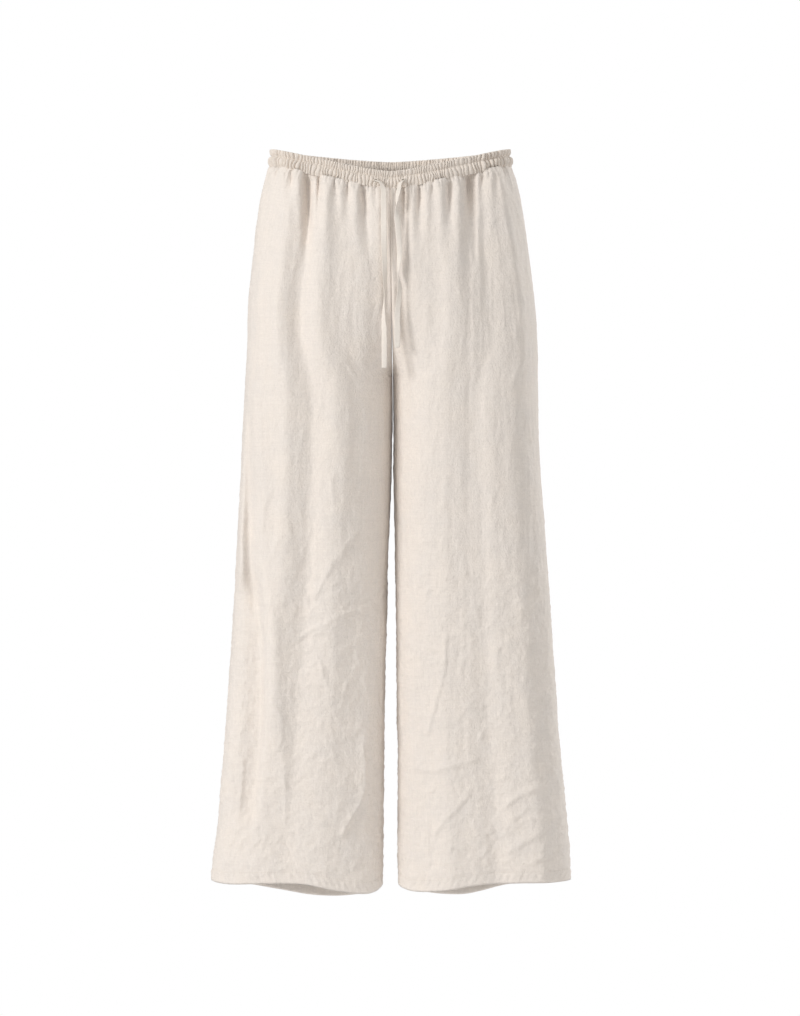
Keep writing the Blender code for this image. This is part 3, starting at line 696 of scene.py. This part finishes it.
@dataclass
class LegPanel:
    """One leg panel, from the waistband's seam to its turned-up hem."""

    leg: Leg
    face: Face
    form: Form
    columns: int
    seed: int
    cut_width: float
    cut_length: float
    piece: bpy.types.Object = field(init=False)

    @property
    def name(self) -> str:
        """Name of the node it replaces."""
        return f"{self.face.value}_{self.leg.value}"

    def _grid(self) -> tuple[Array, Array, Array, Array]:
        """Nominal heights, shares, and inward moves of the allowances and the hem."""
        knees = (PANEL_TOP + TUCKED_IN, FINE_ROWS_END, CLOSE_ROWS_START, LEG_END)
        upper, middle, lower = map(np.linspace, knees, knees[1:], PANEL_ROWS)
        turned = LEG_END + np.array([0.0006, 0.003, 0.008, 0.013, HEM_TURN, HEM_TURN + 0.0006])
        nominal = np.concatenate([upper, middle[1:], lower[1:], turned])
        hem_in = np.zeros(len(nominal))
        hem_in[-7:] = (0.0003, 0.0009, 0.0012, 0.0012, 0.0012, 0.0012, 0.0007)
        hem_in[:len(upper)] += 0.0022 * ease((upper - PANEL_TOP + 0.0035) / 0.0065)
        allowance = np.array([0.0055, 0.0028, 0.0011])
        share = np.concatenate([np.zeros(3), np.linspace(0.0, 1.0, self.columns + 1), np.ones(3)])
        seam_in = np.zeros(len(share))
        seam_in[:3], seam_in[-3:] = allowance, allowance[::-1]
        return nominal, share, hem_in, seam_in

    def _lift(self, x: Array, y: Array, z: Array, share: Array, width: Array,
              below: Array, above_hem: Array) -> tuple[Array, Array]:
        """Moves of the cloth in millimetres, apart from the broad flutes.

        Returns:
            The move the way this face looks, and the move straight outward.
        """
        mx, mz = x / MM, z / MM
        placed = np.zeros_like(x)
        scattered = small_creases(self.seed, SMALL_CREASES, self.leg.sign)
        for fold in FOLDS[self.leg, self.face] + scattered:
            placed += fold.push(mx, mz)
        under, hem = np.maximum(below, 0.0) / MM, above_hem / MM
        from_seam = np.minimum(share, 1.0 - share) * width / MM
        freed = ease((under + 2.0) / 10.0)
        placed *= ease(from_seam / 6.0) * np.where(placed < 0.0, 0.5 + 0.5 * freed, 0.12 + 0.88 * freed)
        placed *= 1.0 - 0.4 * bump(hem, 0.0, 12.0)
        if self.face is Face.FRONT:
            beside_tapes = 0.6 + 0.4 * np.maximum(np.abs(mx - 1.0) - 15.0, 0.0)
            placed = np.where(mz > -330.0, np.minimum(placed, beside_tapes), placed)
        low, bottom = ease((-z - 0.25) / 0.45), ease((-z - 0.80) / 0.20)
        points = np.stack([x, y, z], axis=1)
        lift = np.zeros_like(x)
        for hips, lower, stretch, size, seed in CRUMPLES:
            lift += (hips + lower * low) * crumple(points * stretch, size, seed + self.seed)
        lift += 0.85 * bottom * crumple(points * (0.5, 0.5, 1.5), 0.012, 2.9 + self.seed)
        lift += (0.5 + 0.9 * low) * cloth_noise(points * (1.0, 1.0, 0.6), 0.045, 5.9 + self.seed)
        lift *= ease(from_seam / 7.0) * (1.0 - 0.55 * bump(hem, 0.0, 14.0))
        across = 0.5 * share if self.leg is Leg.LEFT else 1.0 - 0.5 * share
        puff = CHANNEL_PLEATS[self.face].puff(across)
        lift += (puff - 0.62) * 2.6 * bump(under, 0.0, 9.0, 1.3)
        lift += (0.1 + 1.0 * puff) * bump(under, 6.0, 5.0) * ease(from_seam / 12.0)
        lift -= 0.9 * bump(from_seam, 0.0, 1.4)
        ripple = 0.35 + 0.12 * np.sin(mz / 1.35 + 2.0 * np.sin(mz / 9.0))
        lift += ripple * bump(from_seam, 4.6, 2.6)
        run = share * width
        pucker = np.sin(run / 0.0036 + 2.2 * np.sin(run / 0.021))
        rope = np.sin((run + 0.6 * above_hem) / 0.0017 + 1.7 * np.sin(run / 0.017))
        lift -= (0.95 + 0.45 * pucker) * bump(hem, HEM_STITCHES / MM, 1.3)
        lift += 0.55 * rope * bump(hem, 9.0, 6.5) + 0.5 * bump(hem, 1.0, 3.0)
        return placed, lift

    def build(self, hangs_from: bpy.types.Object) -> None:
        """Build the panel and its hem's stitches.

        Args:
            hangs_from: The half of the waistband it is sewn to. Not used.
        """
        nominal, shares, hem_in, seam_in = self._grid()
        rows, columns = len(nominal), len(shares)
        level = np.repeat(nominal, columns)
        share = np.tile(shares, rows)
        near_waist = ease((level - DIP_FADE_END) / (PANEL_TOP - DIP_FADE_END))
        near_hem = ease((HEM_FADE_START - level) / (HEM_FADE_START - LEG_END))
        z = level - near_waist * self.form.dip(self.leg, self.face, share)
        z += near_hem * (self.form.hem(self.leg, self.face, share) - LEG_END)
        x, y, out_x, out_y, width = self.form.read(self.leg, self.face, z, share)
        middle = self.form.measure("middle", z)
        world_x = middle + self.leg.sign * x
        towards, straight = self._lift(world_x, y, z, share, width,
                                      PANEL_TOP - level, level - LEG_END)
        lift = self.form.flutes(self.leg, self.face, z, share) + straight * MM
        lift -= np.repeat(hem_in, columns)
        inward = np.tile(seam_in, rows)
        x = x + out_x * (lift - inward + 0.08 * towards * MM)
        y = y + out_y * (lift - inward) + self.face.side * towards * MM * ease(np.abs(out_y) / 0.5)
        x = np.maximum(x, 0.5 * SEAM_GAP + 0.5 * WALL * np.abs(out_x))
        points = np.stack([middle + self.leg.sign * x, y + self.face.side * 0.5 * SEAM_GAP, z], axis=1)
        uvs = np.stack([share * width + self.leg.sign * 0.4, level], axis=1)
        self.piece = cloth_grid(self.name, points.reshape(rows, columns, 3),
                                uvs.reshape(rows, columns, 2), WALL)
        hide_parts(self.name)
        paint(self.piece, LINEN)
        stitches = self._hem_stitches(points.reshape(rows, columns, 3), nominal)

    def _hem_stitches(self, grid: Array, nominal: Array) -> bpy.types.Object:
        """The row of stitches that holds the turned-up hem."""
        row = int(np.argmin(np.abs(nominal[:-6] - (LEG_END + HEM_STITCHES))))
        line = grid[row, 3:-3]
        outward = np.stack([np.gradient(line[:, 1]), -np.gradient(line[:, 0])], axis=1)
        outward /= np.linalg.norm(outward, axis=1)[:, None]
        if np.sum(outward[:, 1]) * self.face.side < 0.0:
            outward = -outward
        line = line.copy()
        line[:, :2] += outward * (0.5 * WALL + 0.00008)
        return sew(f"{self.name}_hem_stitches", line, 0.0030)


def sew(name: str, line: Array, pitch: float, length: float = 0.0022,
        radius: float = 0.00034) -> bpy.types.Object:
    """A row of machine stitches along a line, one modelled and the rest copied.

    Args:
        name: Name of the piece.
        line: Points that the stitches follow.
        pitch: Distance from stitch to stitch.
        length: Length of a stitch.
        radius: Half the thread's thickness.

    Returns:
        The joined stitches.
    """
    bpy.ops.mesh.primitive_uv_sphere_add(segments=6, ring_count=4, radius=1.0)
    piece = bpy.context.object
    piece.name = piece.data.name = name
    one = np.zeros(len(piece.data.vertices) * 3)
    piece.data.vertices.foreach_get("co", one)
    one = one.reshape(-1, 3) * (radius, radius, 0.5 * length)
    faces = [list(face.vertices) for face in piece.data.polygons]
    run = lengths_along(line)
    centres = np.arange(0.5 * pitch, run[-1] - 0.4 * pitch, pitch)
    points, polygons = [], []
    for centre in centres:
        ends = [np.array([np.interp(centre + s, run, line[:, k]) for k in range(3)])
                for s in (-0.5 * length, 0.5 * length)]
        along = Vector(ends[1] - ends[0]).normalized()
        turn = np.array(along.to_track_quat("Z", "Y").to_matrix())
        base = len(points) * len(one)
        points.append(one @ turn.T + 0.5 * (ends[0] + ends[1]))
        polygons += [[base + v for v in face] for face in faces]
    mesh = bpy.data.meshes.new(name)
    mesh.from_pydata(np.concatenate(points).tolist(), [], polygons)
    piece.data = mesh
    bpy.ops.object.shade_smooth()
    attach(piece, BODY)
    paint(piece, THREAD)
    LOG.info("%s: %d stitches", name, len(centres))
    return piece


@dataclass
class Waistband:
    """One half of the gathered waistband: heading, channel and inner layer."""

    face: Face
    form: Form
    holes: tuple[Vector, ...] = ()
    piece: bpy.types.Object = field(init=False)

    def place(self, across: Array, below: Array, outward: Array) -> Array:
        """Points of the band.

        Args:
            across: From the +X side seam (0) to the -X one (1).
            below: Depth below the top edge, in metres.
            outward: How far out, in metres.

        Returns:
            Points, one row each.
        """
        points = np.zeros((len(across), 3))
        for leg in Leg:
            here = across <= 0.5 if leg is Leg.LEFT else across > 0.5
            share = 2.0 * across[here] if leg is Leg.LEFT else 2.0 * (1.0 - across[here])
            z = -below[here] - self.form.dip(leg, self.face, share)
            x, y, out_x, out_y, _ = self.form.read(leg, self.face, z, share)
            x, y = x + out_x * outward[here], y + out_y * outward[here]
            y = y + self.face.side * 0.5 * SEAM_GAP
            points[here] = np.stack([leg.sign * x + self.form.measure("middle", z), y, z], axis=1)
        return points

    def build(self) -> None:
        """Build the band half and its row of channel stitches."""
        columns = 800
        outer = np.linspace(0.0245, 0.0005, 27)
        inner = (0.0006, 0.004, 0.009, 0.014, 0.019, 0.0240)
        below = np.concatenate([outer, (0.0, 0.0), inner])
        depth = np.concatenate([np.zeros_like(outer), (0.0005, 0.0013), np.full(len(inner), BAND_DEPTH)])
        profile = smooth_read(*zip(*BAND_PROFILE), below)
        places = np.linspace(0.0, 1.0, columns + 1)
        across, level = np.tile(places, len(below)), np.repeat(below, columns + 1)
        heading = 1.0 - ease((level - GROOVE_BELOW + 0.0016) / 0.0030)
        wobble = 0.0016 * np.sin(across * 97.0 + level * 310.0)
        wobble += 0.0011 * np.sin(across * 61.0 - level * 500.0)
        channel_puff = CHANNEL_PLEATS[self.face].puff(across + wobble)
        heading_puff = HEADING_PLEATS[self.face].puff(across - wobble)
        groove = bump(level, GROOVE_BELOW, 0.0012)
        seam = ease((level - 0.0190) / 0.0045)
        aside = np.abs(across - 0.5)
        deep = 1.0 + 0.8 * ease((aside - 0.25) / 0.12) - 0.15 * ease((0.08 - aside) / 0.05)
        puff = heading * heading_puff * 3.0 + (1.0 - heading) * channel_puff * (3.8 - 0.5 * seam)
        lift = (puff * deep - 2.3 - 2.0 * (deep - 1.0)) * MM * (1.0 - 0.45 * groove) - 0.0007 * groove
        lift += np.repeat(profile, columns + 1) - np.repeat(depth, columns + 1)
        lift -= 0.0007 * bump(np.minimum(across, 1.0 - across) * GATHERED / MM, 0.0, 1.2)
        scallop = 0.00085 * (heading_puff - 0.6) * bump(level, 0.0, 0.0020)
        points = self.place(across, level - scallop, lift)
        drop = np.zeros(len(points), dtype=bool)
        outside = np.repeat(np.arange(len(below)) < len(outer), columns + 1)
        for hole in self.holes:
            away = np.linalg.norm(points - np.array(hole), axis=1)
            points[:, 1] += 0.0008 * bump(away, 0.0, 0.0042)
            drop |= outside & (np.hypot(points[:, 0] - hole.x, points[:, 2] - hole.z) < 0.0017)
        shape = (len(below), columns + 1)
        way = np.cumsum(np.abs(np.diff(below, prepend=below[0])))
        uvs = np.stack([across * 0.53, np.repeat(way, columns + 1)], axis=1)
        name = f"waistband_{self.face.value}"
        self.piece = cloth_grid(name, points.reshape(*shape, 3), uvs.reshape(*shape, 2), BAND_WALL,
                                drop.reshape(shape))
        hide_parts(name)
        paint(self.piece, BAND_LINEN)
        row = int(np.argmin(np.abs(outer - GROOVE_BELOW)))
        line = points.reshape(*shape, 3)[row].copy()
        line[:, 1] += self.face.side * (0.5 * BAND_WALL + 0.00006)
        stitches = sew(f"{name}_stitches", line, 0.0028, 0.0019, 0.00022)


@dataclass
class Eyelet:
    """A small worked eyelet: a ring of satin stitches over the hole's edge."""

    side: Leg

    @property
    def name(self) -> str:
        """Name of the node it replaces."""
        return f"eyelet_{self.side.value}"

    @property
    def centre(self) -> Vector:
        """Centre of the eyelet's node."""
        low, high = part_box(self.name)
        return 0.5 * (Vector(low) + Vector(high))

    def build(self) -> None:
        """Build the ring, its thread bulging at each stitch."""
        bpy.ops.mesh.primitive_torus_add(major_radius=EYELET_RADIUS, minor_radius=EYELET_THREAD,
                                         major_segments=132, minor_segments=10)
        ring = bpy.context.object
        ring.name = ring.data.name = self.name
        for vertex in ring.data.vertices:
            turn = math.atan2(vertex.co.y, vertex.co.x)
            radius = math.hypot(vertex.co.x, vertex.co.y)
            bulge = 0.84 + 0.20 * abs(math.sin(11.0 * turn + 0.5 * math.sin(3.0 * turn)))
            radius = EYELET_RADIUS + (radius - EYELET_RADIUS) * bulge * 1.05
            vertex.co = (radius * math.cos(turn), radius * math.sin(turn), vertex.co.z * bulge)
        turned = Vector((0.0, -1.0, 0.02)).to_track_quat("Z", "Y").to_matrix().to_4x4()
        ring.data.transform(Matrix.Translation(self.centre) @ turned)
        bpy.ops.object.shade_smooth()
        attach(ring, BODY)
        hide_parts(self.name)
        paint(ring, THREAD)
        LOG.info("%s: %d faces", self.name, len(ring.data.polygons))


@dataclass
class Drawstring:
    """One free end of the drawstring: a flat tape with a folded, stitched tip."""

    side: Leg
    route: tuple[tuple[float, ...], ...]
    centre: Vector
    stations: int = 170
    around: int = 16

    def build(self) -> None:
        """Build the tape along its route, and the stitches across its tip."""
        start = self.centre
        lean = 6.0 * self.side.sign
        rows = [(start.x, start.y + 0.0022, start.z + 0.0004, 0.0032, -lean),
                (start.x, start.y - 0.0012, start.z - 0.0004, 0.0036, -lean)] + list(self.route)
        table = np.array(rows)
        run = lengths_along(table[:, :3])
        at = np.linspace(0.0, run[-1], self.stations)
        *path, width, turn = read_line(run, table, at).T
        path, turn = np.stack(path, axis=1), np.radians(turn)
        tip_start = run[-1] - TIP_LENGTH
        tip = ease((at - tip_start) / 0.0012)
        thick = 0.00125 + 0.0008 * tip
        forward = np.gradient(path, axis=0)
        forward /= np.linalg.norm(forward, axis=1)[:, None]
        across = np.stack([np.cos(turn), np.sin(turn), np.zeros_like(turn)], axis=1)
        across -= forward * np.sum(across * forward, axis=1)[:, None]
        across /= np.linalg.norm(across, axis=1)[:, None]
        facing = np.cross(forward, across)
        angle = np.linspace(0.0, 2.0 * math.pi, self.around, endpoint=False)
        side, rise = signed_power(np.cos(angle), 0.7), signed_power(np.sin(angle), 0.6)
        ripple = 1.0 + 0.035 * np.sin(at / 0.0031) + 0.03 * np.sin(at / 0.0113 + 1.0)
        dent = bump(at, run[-1] - TIP_STITCHES, 0.0007)
        half = 0.5 * width * ripple * (1.0 - 0.10 * tip * (at - tip_start) / TIP_LENGTH)
        lift = 0.5 * thick * (1.0 - 0.35 * dent)
        curl = 0.00035 * (side**2 - 0.4)
        rings = [path[i] + np.outer(side * half[i], across[i]) + np.outer(rise * lift[i] + curl, facing[i])
                 for i in range(self.stations)]
        points = np.concatenate(rings + [path[:1], path[-1:] + forward[-1:] * 0.0004])
        last = (self.stations - 1) * self.around
        steps = [(k, (k + 1) % self.around) for k in range(self.around)]
        polygons = [[i + k, i + n, i + self.around + n, i + self.around + k]
                    for i in range(0, last, self.around) for k, n in steps]
        for k, n in steps:
            polygons += [[len(points) - 2, n, k], [len(points) - 1, last + k, last + n]]
        name = f"drawstring_{self.side.value}"
        mesh = bpy.data.meshes.new(name)
        mesh.from_pydata(points.tolist(), [], polygons)
        uv = mesh.uv_layers.new(name="cloth")
        for loop in mesh.loops:
            station, k = divmod(min(loop.vertex_index, last + self.around - 1), self.around)
            uv.data[loop.index].uv = (0.004 * side[k], at[min(station, self.stations - 1)])
        piece = bpy.data.objects.new(name, mesh)
        bpy.context.scene.collection.objects.link(piece)
        flesh = bmesh.new()
        flesh.from_mesh(mesh)
        bmesh.ops.recalc_face_normals(flesh, faces=flesh.faces)
        flesh.to_mesh(mesh)
        flesh.free()
        mesh.shade_smooth()
        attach(piece, BODY)
        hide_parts(name)
        paint(piece, TAPE_LINEN)
        row = int(np.argmin(np.abs(at - (run[-1] - TIP_STITCHES))))
        corners = ((-0.86, -1.0), (0.86, -1.0), (0.86, 1.0), (-0.86, 1.0))
        seam = np.stack([path[row] + across[row] * s * 0.5 * width[row] + facing[row] * f * 0.45 * thick[row]
                         for s, f in corners])
        stitches = sew(f"{name}_tip_stitches", seam, 0.0017, 0.0013, 0.00016)


Socket = bpy.types.NodeSocket
CASTS = ((0.985, 1.0, 1.02), (1.015, 1.0, 0.975))
WHITE = (1.0, 1.0, 1.0, 1.0)


class Tree:
    """A node tree whose nodes take their settings, values and links in one call."""

    def __init__(self, owner: bpy.types.Material | bpy.types.World) -> None:
        owner.use_nodes = True
        self.nodes, self.links = owner.node_tree.nodes, owner.node_tree.links

    def give(self, node: bpy.types.Node, inputs: dict) -> bpy.types.Node:
        """Give a node's inputs their values, or link them from sockets."""
        for key, value in inputs.items():
            if isinstance(value, Socket):
                self.links.new(value, node.inputs[key])
            else:
                node.inputs[key].default_value = value
        return node

    def add(self, kind: str, inputs: dict, **settings: str) -> bpy.types.bpy_prop_collection:
        """Add a node.

        Args:
            kind: Its type, without the prefix that all have.
            inputs: Values or sockets for its inputs.
            settings: Its own settings.

        Returns:
            Its outputs.
        """
        node = self.nodes.new("ShaderNode" + kind)
        for key, value in settings.items():
            setattr(node, key, value)
        return self.give(node, inputs).outputs

    def math(self, operation: str, *values: float | Socket) -> Socket:
        """Add a sum or product of values and sockets."""
        return self.add("Math", dict(enumerate(values)), operation=operation)[0]

    def bump(self, height: Socket, distance: float, strength: float, **under: Socket) -> Socket:
        """Add a bump over the plain surface, or over another bump."""
        inputs = {"Height": height, "Distance": distance, "Strength": strength, **under}
        return self.add("Bump", inputs)["Normal"]


@dataclass(frozen=True)
class ClothFinish:
    """How a woven cloth looks, its threads and slubs laid on its cloth coordinates."""

    name: str
    colour: tuple[float, float, float]
    thread: float = 0.00075
    contrast: float = 0.115
    slubs: float = 0.08
    flecks: float = 0.10
    mottle: float = 0.08
    crinkle: float = 0.0020
    sheen: float = 0.18
    roughness: float = 0.88
    painted_inside_light: float = 0.0  # painted light: how much paler the inner layer is painted, standing in for light that comes through the cloth

    def make(self) -> bpy.types.Material:
        """Build the material."""
        material = bpy.data.materials.new(self.name)
        tree = Tree(material)
        cloth = tree.add("UVMap", {}, uv_map="cloth")["UV"]
        solid = tree.add("TexCoord", {})["Object"]

        def grain(scale: tuple[float, float, float], detail: float, source: Socket) -> Socket:
            """Noise stretched along the cloth."""
            place = tree.add("Mapping", {"Vector": source, "Scale": scale})["Vector"]
            return tree.add("TexNoise", {"Vector": place, "Scale": 1.0, "Detail": detail,
                                         "Roughness": 0.6})["Fac"]

        def sum_of(base: float, *terms: tuple[Socket, float]) -> Socket:
            """Base plus each term's distance from a half, times its weight."""
            (socket, weight), *others = terms
            total = tree.math("MULTIPLY_ADD", socket, weight, base - 0.5 * weight)
            for socket, weight in others:
                total = tree.math("ADD", total, tree.math("MULTIPLY_ADD", socket, weight, -0.5 * weight))
            return total

        across = 1.0 / self.thread
        weft = grain((0.05 * across, across, 1.0), 2.0, cloth)
        warp = grain((across, 0.05 * across, 1.0), 2.0, cloth)
        weft_slub = grain((14.0, 330.0, 1.0), 3.0, cloth)
        warp_slub = grain((360.0, 12.0, 1.0), 3.0, cloth)
        weft_fleck = grain((250.0, 850.0, 1.0), 2.0, cloth)
        warp_fleck = grain((900.0, 230.0, 1.0), 2.0, cloth)
        patches = grain((30.0, 30.0, 24.0), 5.0, solid)
        clouds = grain((6.0, 6.0, 5.0), 2.0, solid)
        shade = sum_of(1.0, (weft, self.contrast), (warp, self.contrast), (weft_slub, self.slubs),
                       (warp_slub, self.slubs), (weft_fleck, self.flecks), (warp_fleck, self.flecks),
                       (patches, self.mottle), (clouds, 0.6 * self.mottle))
        # Painted light: the band's inner layer is painted paler, standing in for the light that comes through
        # the cloth.
        if self.painted_inside_light:
            folded = tree.add("SeparateXYZ", {0: cloth})["Y"]
            folded = tree.math("GREATER_THAN", folded, BAND_HEIGHT + 0.0013)
            gain = tree.math("MULTIPLY_ADD", folded, self.painted_inside_light, 1.0)
            shade = tree.math("MULTIPLY", gain, shade)
        cool, warm = (tuple(c * w for c, w in zip(self.colour, cast)) for cast in CASTS)
        tint = tree.add("Mix", {0: patches, 4: cool, 5: warm}, data_type="VECTOR")[1]
        colour = tree.add("VectorMath", {0: tint, "Scale": shade}, operation="SCALE")["Vector"]
        yarn = sum_of(0.5, (weft, 1.0), (warp, 1.0), (weft_slub, 0.8), (warp_slub, 0.8))
        crinkles = sum_of(0.5, (grain((90.0, 90.0, 70.0), 5.0, solid), 1.0),
                          (grain((420.0, 420.0, 320.0), 3.0, solid), 0.45))
        fine = tree.bump(yarn, 0.00022, 0.8)
        tree.give(tree.nodes["Principled BSDF"], {
            "Base Color": colour, "Roughness": self.roughness, "Specular IOR Level": 0.18,
            "Sheen Weight": self.sheen, "Sheen Roughness": 0.55,
            "Normal": tree.bump(crinkles, self.crinkle, 1.0, Normal=fine)})
        return material


@dataclass(frozen=True)
class ThreadFinish:
    """Sewing thread: smooth twisted fibre with a faint sheen."""

    name: str
    colour: tuple[float, float, float]

    def make(self) -> bpy.types.Material:
        """Build the material."""
        material = bpy.data.materials.new(self.name)
        tree = Tree(material)
        solid = tree.add("TexCoord", {})["Object"]
        twist = tree.add("TexNoise", {"Vector": solid, "Scale": 2600.0})["Fac"]
        tree.give(tree.nodes["Principled BSDF"], {
            "Base Color": (*self.colour, 1.0), "Roughness": 0.62, "Sheen Weight": 0.15,
            "Normal": tree.bump(twist, 0.0001, 0.6)})
        return material


LINEN = ClothFinish("washed linen", (0.800, 0.730, 0.668))
# The waistband's inner layer is painted 16% paler: painted light, not the cloth's own colour.
BAND_LINEN = ClothFinish("waistband linen", (0.745, 0.670, 0.600), contrast=0.08, mottle=0.06,
                         crinkle=0.0006, painted_inside_light=0.16)
TAPE_LINEN = ClothFinish("drawstring linen", (0.800, 0.735, 0.665), thread=0.0006, mottle=0.05,
                         crinkle=0.0003)
THREAD = ThreadFinish("linen thread", (0.745, 0.675, 0.600))


def paint(piece: bpy.types.Object, finish: ClothFinish | ThreadFinish) -> None:
    """Give a piece its finish, made once and shared."""
    material = bpy.data.materials.get(finish.name) or finish.make()
    piece.data.materials.clear()
    piece.data.materials.append(material)


# Lamps: name, place, what it is turned to, size and share of the key's power.
LAMPS = (
    ("key", (-3.0, -2.3, 0.75), (0.0, 0.0, -0.55), 1.2, 1.0),
    ("top", (-0.3, -0.9, 2.5), (0.0, 0.0, -0.2), 1.4, 0.13),
    ("fill", (3.2, -1.6, 0.1), (0.0, 0.0, -0.5), 1.6, 0.24),
    ("low", (-0.9, -3.4, -1.30), (0.0, 0.0, -0.9), 1.2, 0.10),
    ("back key", (3.0, 2.6, 1.1), (0.0, 0.0, -0.5), 1.3, 0.85),
)


@dataclass(frozen=True)
class Studio:
    """Plain pale studio: a soft key from the upper left and an even surround."""

    key_power: float = 88.0
    surround: float = 0.42

    def build(self) -> None:
        """Build the floor, the surround and the lights."""
        scene = bpy.context.scene
        scene.view_settings.view_transform = "Standard"
        world = scene.world = bpy.data.worlds.new("pale studio")
        tree = Tree(world)
        tree.give(tree.nodes["Background"], {"Color": (1.0, 0.995, 0.985, 1.0), "Strength": self.surround})
        self._show(tree, tree.nodes["Background"].outputs[0], tree.add("Background", {"Color": WHITE})[0],
                   1.0, "World Output")
        for name, place, at, size, share in LAMPS:
            self._lamp(name, place, at, size, share * self.key_power)
        bpy.ops.mesh.primitive_plane_add(size=3.0, location=(0.0, 0.0, -1.42))
        floor = bpy.context.object
        floor.name = floor.data.name = "studio floor"
        material = bpy.data.materials.new("pale floor")
        tree = Tree(material)
        matt = tree.give(tree.nodes["Principled BSDF"], {"Base Color": (0.93, 0.93, 0.93, 1.0),
                                                         "Roughness": 0.9})
        self._show(tree, matt.outputs[0], tree.add("Emission", {})[0], 0.6, "Material Output")
        floor.data.materials.append(material)

    def _show(self, tree: Tree, lit: Socket, seen: Socket, share: float, output: str) -> None:
        """Light with one shader and show a share of another to the eye."""
        ray = tree.math("MULTIPLY", tree.add("LightPath", {})["Is Camera Ray"], share)
        mix = tree.add("MixShader", {"Fac": ray, 1: lit, 2: seen})[0]
        tree.give(tree.nodes[output], {"Surface": mix})

    def _lamp(self, name: str, place: tuple, at: tuple, size: float, power: float) -> None:
        """A soft square light turned to a point."""
        bpy.ops.object.light_add(type="AREA", location=place)
        lamp = bpy.context.object
        lamp.name = lamp.data.name = name
        lamp.data.shape = "SQUARE"
        lamp.data.size = size
        lamp.data.energy = power
        lamp.rotation_euler = (Vector(at) - Vector(place)).to_track_quat("-Z", "Y").to_euler()


# The front view: its middle, its way off and the span that it takes in there.
VIEW_X, VIEW_Z, VIEW_WAY, VIEW_SPAN, SENSOR = 0.0137, -0.5107, 8.0, 1.4494, 36.0


def add_camera() -> None:
    """Front view, level, from eight metres."""
    bpy.ops.object.camera_add(location=(VIEW_X, -VIEW_WAY, VIEW_Z), rotation=(math.radians(90.0), 0.0, 0.0))
    camera = bpy.context.object
    camera.name = camera.data.name = "front camera"
    camera.data.sensor_fit = "AUTO"
    camera.data.sensor_width = SENSOR
    camera.data.lens = SENSOR * VIEW_WAY / VIEW_SPAN
    camera.data.clip_end = 40.0
    bpy.context.scene.camera = camera


def main() -> None:
    """Build the camera, the drawstring, the cloth and the studio."""
    logging.basicConfig(level=logging.INFO, format="%(name)s: %(message)s")
    add_camera()
    eyelets = {side: Eyelet(side) for side in Leg}
    for side, route in ((Leg.RIGHT, RIGHT_TAPE), (Leg.LEFT, LEFT_TAPE)):
        Drawstring(side, route, eyelets[side].centre).build()
        eyelets[side].build()
    form = Form()
    bands = {
        Face.FRONT: Waistband(Face.FRONT, form, tuple(e.centre for e in eyelets.values())),
        Face.BACK: Waistband(Face.BACK, form),
    }
    for band in bands.values():
        band.build()
    panels = (
        LegPanel(Leg.RIGHT, Face.FRONT, form, 150, 5, 0.345, 1.085),
        LegPanel(Leg.LEFT, Face.FRONT, form, 150, 9, 0.345, 1.085),
        LegPanel(Leg.RIGHT, Face.BACK, form, 108, 14, 0.385, 1.110),
        LegPanel(Leg.LEFT, Face.BACK, form, 108, 21, 0.385, 1.110),
    )
    for panel in panels:
        panel.build(bands[panel.face].piece)
    Studio().build()


if __name__ == "__main__":
    main()
